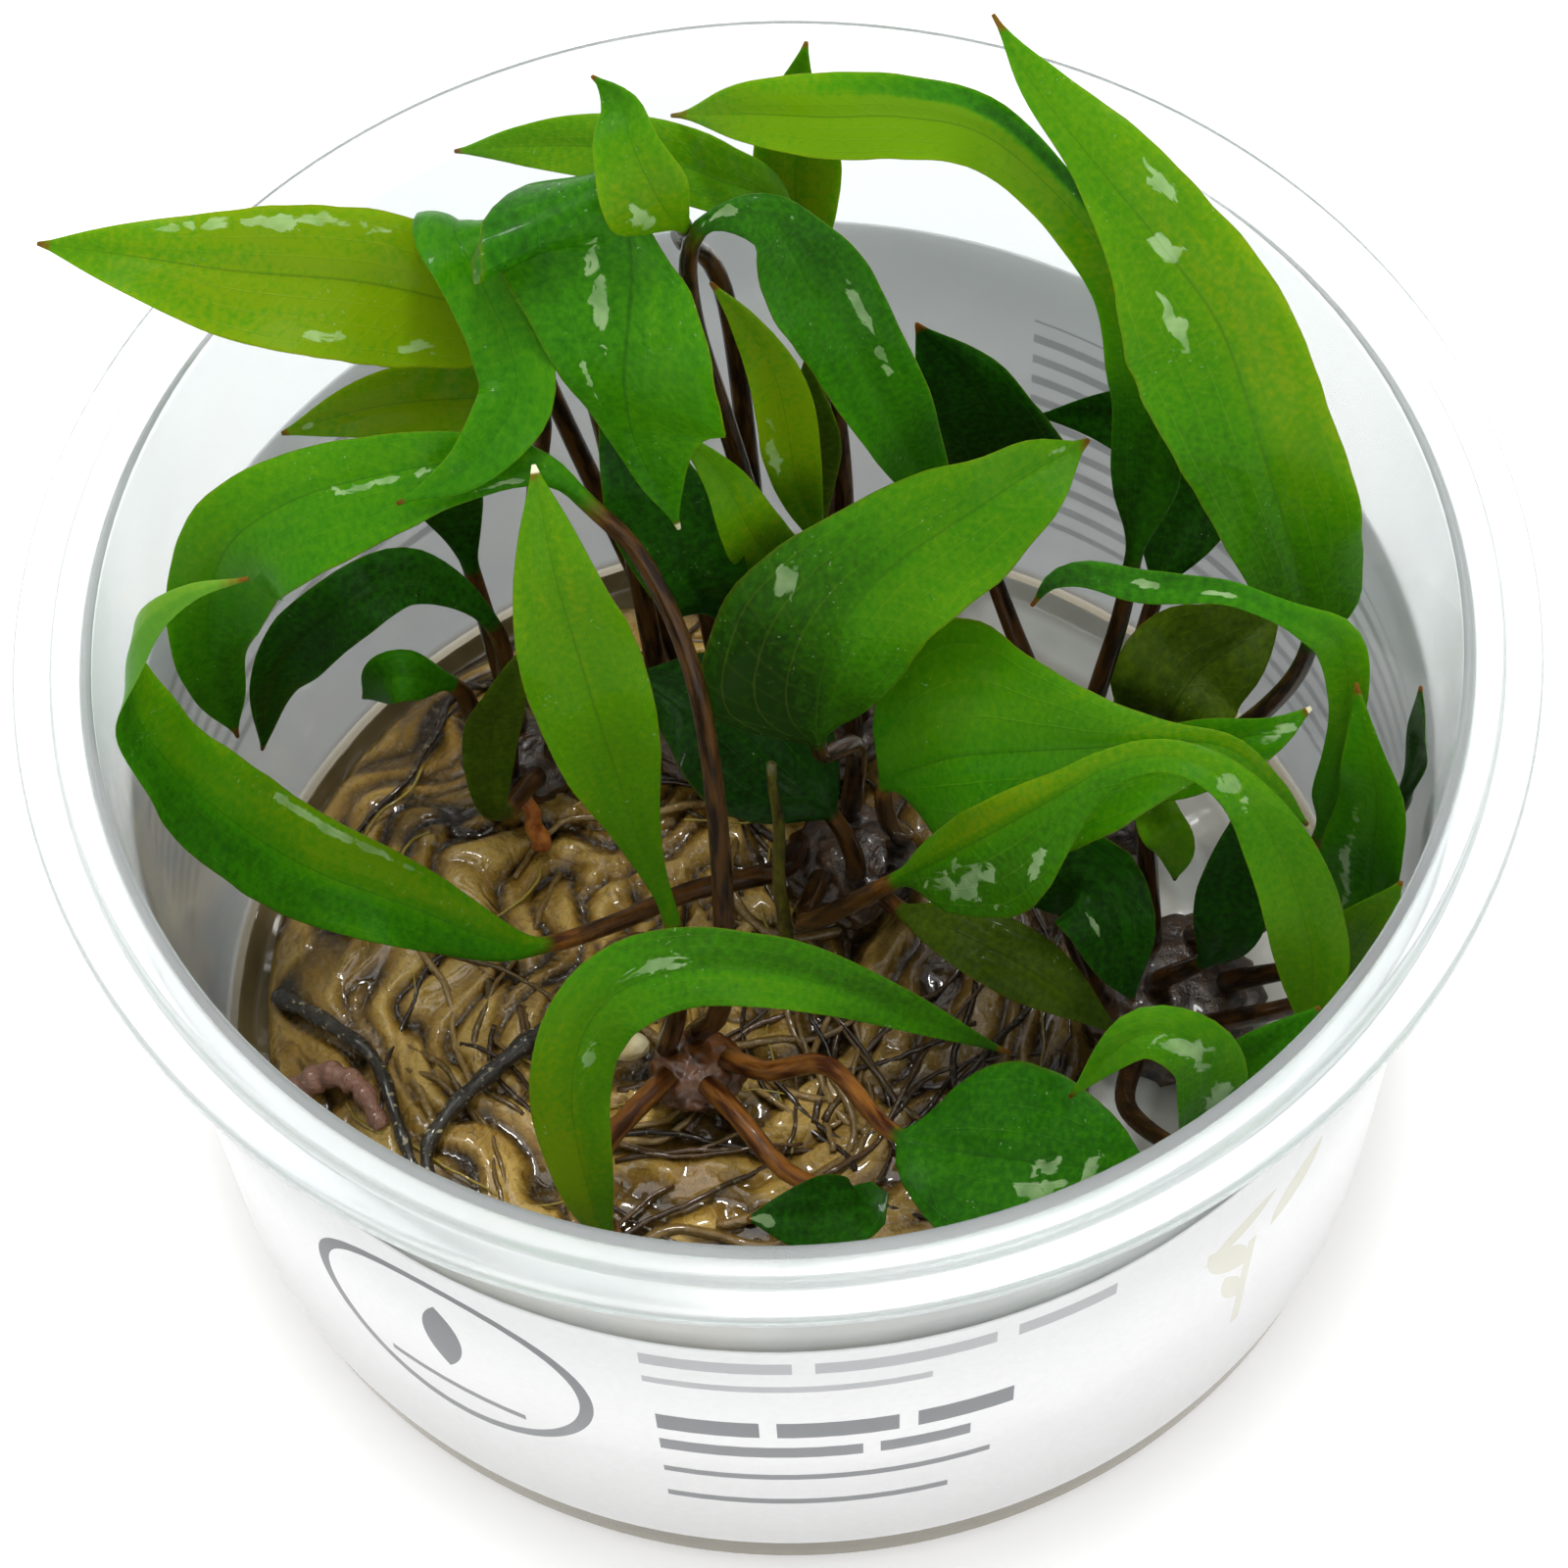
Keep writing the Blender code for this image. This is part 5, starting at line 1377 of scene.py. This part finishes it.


# %% [markdown]
# ## Light, shade and water on the leaves
#
# No leaf is one green, and the tones here are painted light and shade: yellow green where light falls on
# the leaf, dark where it lies deep in the cup or under another leaf. This table gives a few numbers for
# each leaf, from the foot of its blade to its tip: 0 is painted deep shade and 1 is painted full light,
# yellow green. A second run is for the half right of the midrib, where it differs, and a third for the
# strip along the right edge, where that rolls under into painted shade. A leaf that isn't in the table has
# the even tone of its finish. The next table lays the films of water, each by its middle along and across
# the blade and its half length and half width in the same shares. A film makes the leaf smoother and
# coated, and its pale silvery colour is a painted reflection.

# %% Tones and water
EVEN_TONES = {"leaf_bright": 0.78, "leaf_green": 0.52, "leaf_dark": 0.34, "leaf_olive": 0.60}
# Painted light and shade along each leaf: 0 is deep shade and 1 is full light.
TONES = {
    "leaf_far_left": [(0.90, 1.0, 1.0, 0.95, 0.8)],
    "leaf_hanging_strip": [(0.40, 0.50, 0.62, 0.60, 0.65)],
    "leaf_folded_top": [(0.45, 0.62, 0.85, 0.88, 0.70), (0.40, 0.55, 0.72, 0.75, 0.70)],
    "leaf_curled_tip": [(0.80, 0.88, 0.85, 0.60, 0.50)],
    "leaf_back_left": [(0.70, 0.80, 0.75)],
    "leaf_back_upright": [(0.80, 0.90, 0.80, 0.75)],
    "leaf_long_arch": [(0.10, 0.25, 0.75, 0.98, 1.05, 1.05, 0.95), (0.30, 0.35, 0.55, 0.90, 1.05, 1.05, 0.95),
                       (0.30, 0.30, 0.30, 0.25, 0.30, 0.95, 0.95)],
    "leaf_tall_right": [(0.30, 0.38, 0.52, 0.66, 0.70, 0.55), (0.38, 0.55, 0.90, 0.92, 0.78, 0.60)],
    "leaf_drooping_centre": [(0.30, 0.31, 0.36, 0.40, 0.37), (0.33, 0.41, 0.47, 0.49, 0.49)],
    "leaf_pale_veined": [(0.80, 0.95, 0.85)],
    "leaf_pale_short": [(0.70, 0.80, 0.75)],
    "leaf_broad_centre": [(-0.05, -0.05, 0.32, 0.64, 0.70, 0.65), (0.15, 0.35, 0.62, 0.68, 0.68, 0.65)],
    "leaf_broad_right": [(0.50, 0.74, 0.78, 0.88, 0.92, 0.80), (0.48, 0.56, 0.62, 0.66, 0.78, 0.80)],
    "leaf_arching_right": [(0.60, 0.90, 0.92, 0.75, 0.62, 0.78, 0.80),
                           (0.40, 0.35, 0.45, 0.60, 0.62, 0.78, 0.80)],
    "leaf_twisted_right": [(0.50, 0.58, 0.82, 0.78, 0.50, 0.38, 0.05)],
    "leaf_mid_right": [(0.62, 0.62, 0.62)],
    "leaf_right_wall": [(0.50, 0.55, 0.62), (0.45, 0.50, 0.75)],
    "leaf_front_left": [(0.58, 0.50, 0.40, 0.52, 0.95), (0.85, 0.98, 0.88, 0.85, 1.0)],
    "leaf_left_wide": [(0.50, 0.62, 0.62, 0.60, 0.45, 0.40), (0.55, 0.72, 0.78, 0.78, 0.55, 0.45)],
    "leaf_front_upright": [(0.70, 0.72, 0.75, 0.78, 0.80)],
    "leaf_front_loop": [(0.90, 1.10, 0.80, 0.34, 0.42, 0.38, 0.10),
                        (0.75, 0.90, 0.70, 0.52, 0.66, 0.40, 0.10)],
    "leaf_front_round": [(0.50, 0.60, 0.58, 0.55)],
    "leaf_small_curl": [(0.35, 0.45, 0.60, 0.65, 0.62)],
    "leaf_small_left": [(0.72, 0.90, 0.98, 0.85)],
    "leaf_dark_centre": [(0.15, 0.20, 0.25)],
    "leaf_shaded_back": [(0.30, 0.32, 0.30)],
    "leaf_back_wall": [(0.24, 0.29, 0.30)],
}
# Films of water: each makes the leaf smoother and coated, and is painted pale as a reflection.
WET_FILMS_AND_SHEEN = {
    "leaf_far_left": [(0.68, -0.75, 0.26, 0.16), (0.50, 0.72, 0.07, 0.12), (0.32, 0.72, 0.05, 0.12)],
    "leaf_folded_top": [(0.45, -0.25, 0.14, 0.10), (0.30, 0.30, 0.04, 0.25), (0.62, -0.55, 0.10, 0.08)],
    "leaf_curled_tip": [(0.30, 0.40, 0.12, 0.30)],
    "leaf_drooping_centre": [(0.06, 0.2, 0.05, 0.5), (0.46, 0.40, 0.24, 0.16)],
    "leaf_front_loop": [(0.47, 0.20, 0.07, 0.22), (0.33, -0.30, 0.04, 0.20)],
    "leaf_broad_centre": [(0.37, 0.70, 0.07, 0.18), (0.93, 0.30, 0.03, 0.3)],
    "leaf_tall_right": [(0.72, -0.62, 0.05, 0.20), (0.58, 0.40, 0.05, 0.15), (0.66, 0.0, 0.03, 0.2)],
    "leaf_left_wide": [(0.27, 0.10, 0.10, 0.12), (0.12, 0.75, 0.06, 0.14)],
    "leaf_front_round": [(0.55, -0.45, 0.12, 0.70), (0.72, -0.10, 0.12, 0.35)],
    "leaf_front_low": [(0.92, 0.0, 0.12, 0.70)],
    "leaf_mid_right": [(0.84, -0.40, 0.16, 0.55)],
    "leaf_arching_right": [(0.14, -0.50, 0.10, 0.35), (0.28, -0.60, 0.06, 0.2), (0.62, 0.0, 0.03, 0.8)],
    "leaf_pale_veined": [(0.40, 0.60, 0.15, 0.25)],
    "leaf_twisted_right": [(0.70, 0.2, 0.04, 0.3), (0.80, -0.2, 0.04, 0.3)],
    "leaf_small_curl": [(0.62, 0.10, 0.14, 0.50), (0.35, -0.3, 0.12, 0.45)],
    "leaf_right_wall": [(0.45, 0.45, 0.20, 0.18)],
    "leaf_dark_folded": [(0.55, -0.3, 0.10, 0.10)],
    "leaf_small_left": [(0.92, 0.0, 0.05, 0.5)],
    "leaf_front_left": [(0.30, -0.80, 0.20, 0.10)],
}
WATER_DEPTH = 0.72
WATER_FALL = 0.38
SIDES_BLEND = 0.6
ROLL_START = 0.40
ROLL_BLEND = 0.15
STALK_TONES = {
    "leaf_front_round": 0.9, "leaf_front_low": 0.9, "leaf_front_loop": 0.6, "leaf_front_left": 0.25}
STALK_NECK = -0.05
BEADED_TIPS = ("leaf_folded_top", "leaf_front_upright", "leaf_broad_right", "leaf_mid_right")


def shade_at(name, finish, along, across):
    """Painted light and shade, water with its painted reflection, and tip bead at a place on a leaf."""
    runs = TONES.get(name, [(EVEN_TONES[finish],)])
    on_left = min(max(0.5 + across / SIDES_BLEND, 0.0), 1.0)
    tone = run_value(runs[0], along) * on_left
    tone += run_value(runs[min(1, len(runs) - 1)], along) * (1.0 - on_left)
    if len(runs) > 2:
        at_edge = min(max((-across - ROLL_START) / ROLL_BLEND, 0.0), 1.0)
        tone += (run_value(runs[2], along) - tone) * at_edge
    if along < STALK_NECK:
        tone = STALK_TONES.get(name, 0.0)
    water = 0.0
    for middle, aside, half_length, half_width_share in WET_FILMS_AND_SHEEN.get(name, []):
        off = math.hypot((along - middle) / half_length, (across - aside) / half_width_share)
        water = max(water, WATER_DEPTH * (1.0 - WATER_FALL * off))
    return tone, max(0.0, water), 1.0 if name in BEADED_TIPS else 0.0


print("toned leaves:", len(TONES), "and water films:", sum(len(films) for films in WET_FILMS_AND_SHEEN.values()))


# %% Shape one leaf
LEAF_SIDES = 56
RING_SPACING = 0.9
STALK_RING_SPACING = 1.8
STALK_RADIUS = 0.8
STALK_END_RADIUS = 0.6
TIP_RADIUS = 0.14
BLADE_HALF_THICKNESS = 0.25
NECK_SHARE = 0.25
FULL_HALF_WIDTH = 3.0
RUFFLE_LENGTH = 13.0
RUFFLE_POWER = 2.5
LEFT_WAVE_SHIFT = 1.7
GROOVE_DEPTH = 0.12
GROOVE_WIDTH = 0.5
BUCKLE = 0.35
BUCKLE_WIDTH = 5.0
BUCKLE_LENGTH = 6.0
NOTCH_DEPTH = 0.035
NOTCH_LENGTH = 2.5


def leaf_piece(name, seed):
    """A cone with many sides, moved ring by ring along the midrib and pressed flat into the blade."""
    leaf = LEAVES[name]
    path, run = smooth_route([stalk_foot(leaf.crown, leaf.foot)] + leaf.route)
    length = run[-1]
    stalk_rings = max(4, round(leaf.stalk * length / STALK_RING_SPACING))
    blade_rings = max(20, round((1.0 - leaf.stalk) * length / RING_SPACING))
    stations = [leaf.stalk * step / stalk_rings for step in range(stalk_rings)]
    stations += [leaf.stalk + (1.0 - leaf.stalk) * step / blade_rings for step in range(blade_rings + 1)]
    frames = []
    for share in stations:
        centre, ahead = at_share(path, run, share)
        along = (share - leaf.stalk) / (1.0 - leaf.stalk)
        left = run_value([Vector(look) for look in leaf.looks], along).cross(ahead).normalized()
        frames.append((share, along, centre, left, ahead.cross(left)))
    shape = bmesh.new()
    blade_place = shape.verts.layers.float_vector.new("blade")
    surface_place = shape.verts.layers.float_vector.new("surface")
    shade_place = shape.verts.layers.float_vector.new("shade")
    for corner in ringed_cone(shape, LEAF_SIDES, len(stations)):
        share, along, centre, left, up = frames[round((corner.co.z + 0.5) * (len(stations) - 1))]
        across = corner.co.x
        if along < 0.0:
            radius = STALK_RADIUS + (STALK_END_RADIUS - STALK_RADIUS) * share / leaf.stalk
            thick = radius
        else:
            radius = STALK_END_RADIUS + (TIP_RADIUS - STALK_END_RADIUS) * along
            neck = max(0.0, 1.0 - along / NECK_SHARE) ** 2
            thick = BLADE_HALF_THICKNESS * (1.0 - 0.5 * along)
            thick += (STALK_END_RADIUS - BLADE_HALF_THICKNESS) * neck
        spread = half_width(leaf, along, across > 0.0)
        width = math.hypot(radius, spread)
        distance = share * length
        wave = 2.0 * math.pi * distance / RUFFLE_LENGTH + seed + (LEFT_WAVE_SHIFT if across > 0.0 else 0.0)
        fullness = min(1.0, spread / FULL_HALF_WIDTH)
        lift = abs(across) * spread * math.sin(math.radians(leaf.fold))
        lift += leaf.ruffle * fullness * abs(across) ** RUFFLE_POWER * math.sin(wave)
        lift += BUCKLE * fullness * noise.noise(
            Vector((across * width / BUCKLE_WIDTH, distance / BUCKLE_LENGTH, seed)))
        lift -= GROOVE_DEPTH * fullness * math.exp(-(across * width / GROOVE_WIDTH) ** 2)
        notch = NOTCH_DEPTH * fullness * noise.noise(Vector((distance / NOTCH_LENGTH, seed, across)))
        reach = across * width * (1.0 + notch)
        under = 1.0 if corner.co.y < -0.05 else 0.0
        corner[blade_place] = (across, along if along > 0.0 else (share - leaf.stalk) / leaf.stalk, under)
        corner[surface_place] = (across * width, distance, 10.0 * seed)
        corner[shade_place] = shade_at(name, leaf.finish, along, across)
        corner.co = centre + left * reach + up * (corner.co.y * thick + lift)
    return finish_piece("fine_" + name, shape, LEAF_FINISHES[leaf.finish], leaf.finish, name)


leaf_triangles = sum(triangles(leaf_piece(name, place + 1)) for place, name in enumerate(LEAVES))
print("leaves:", len(LEAVES), "pieces,", leaf_triangles, "triangles")
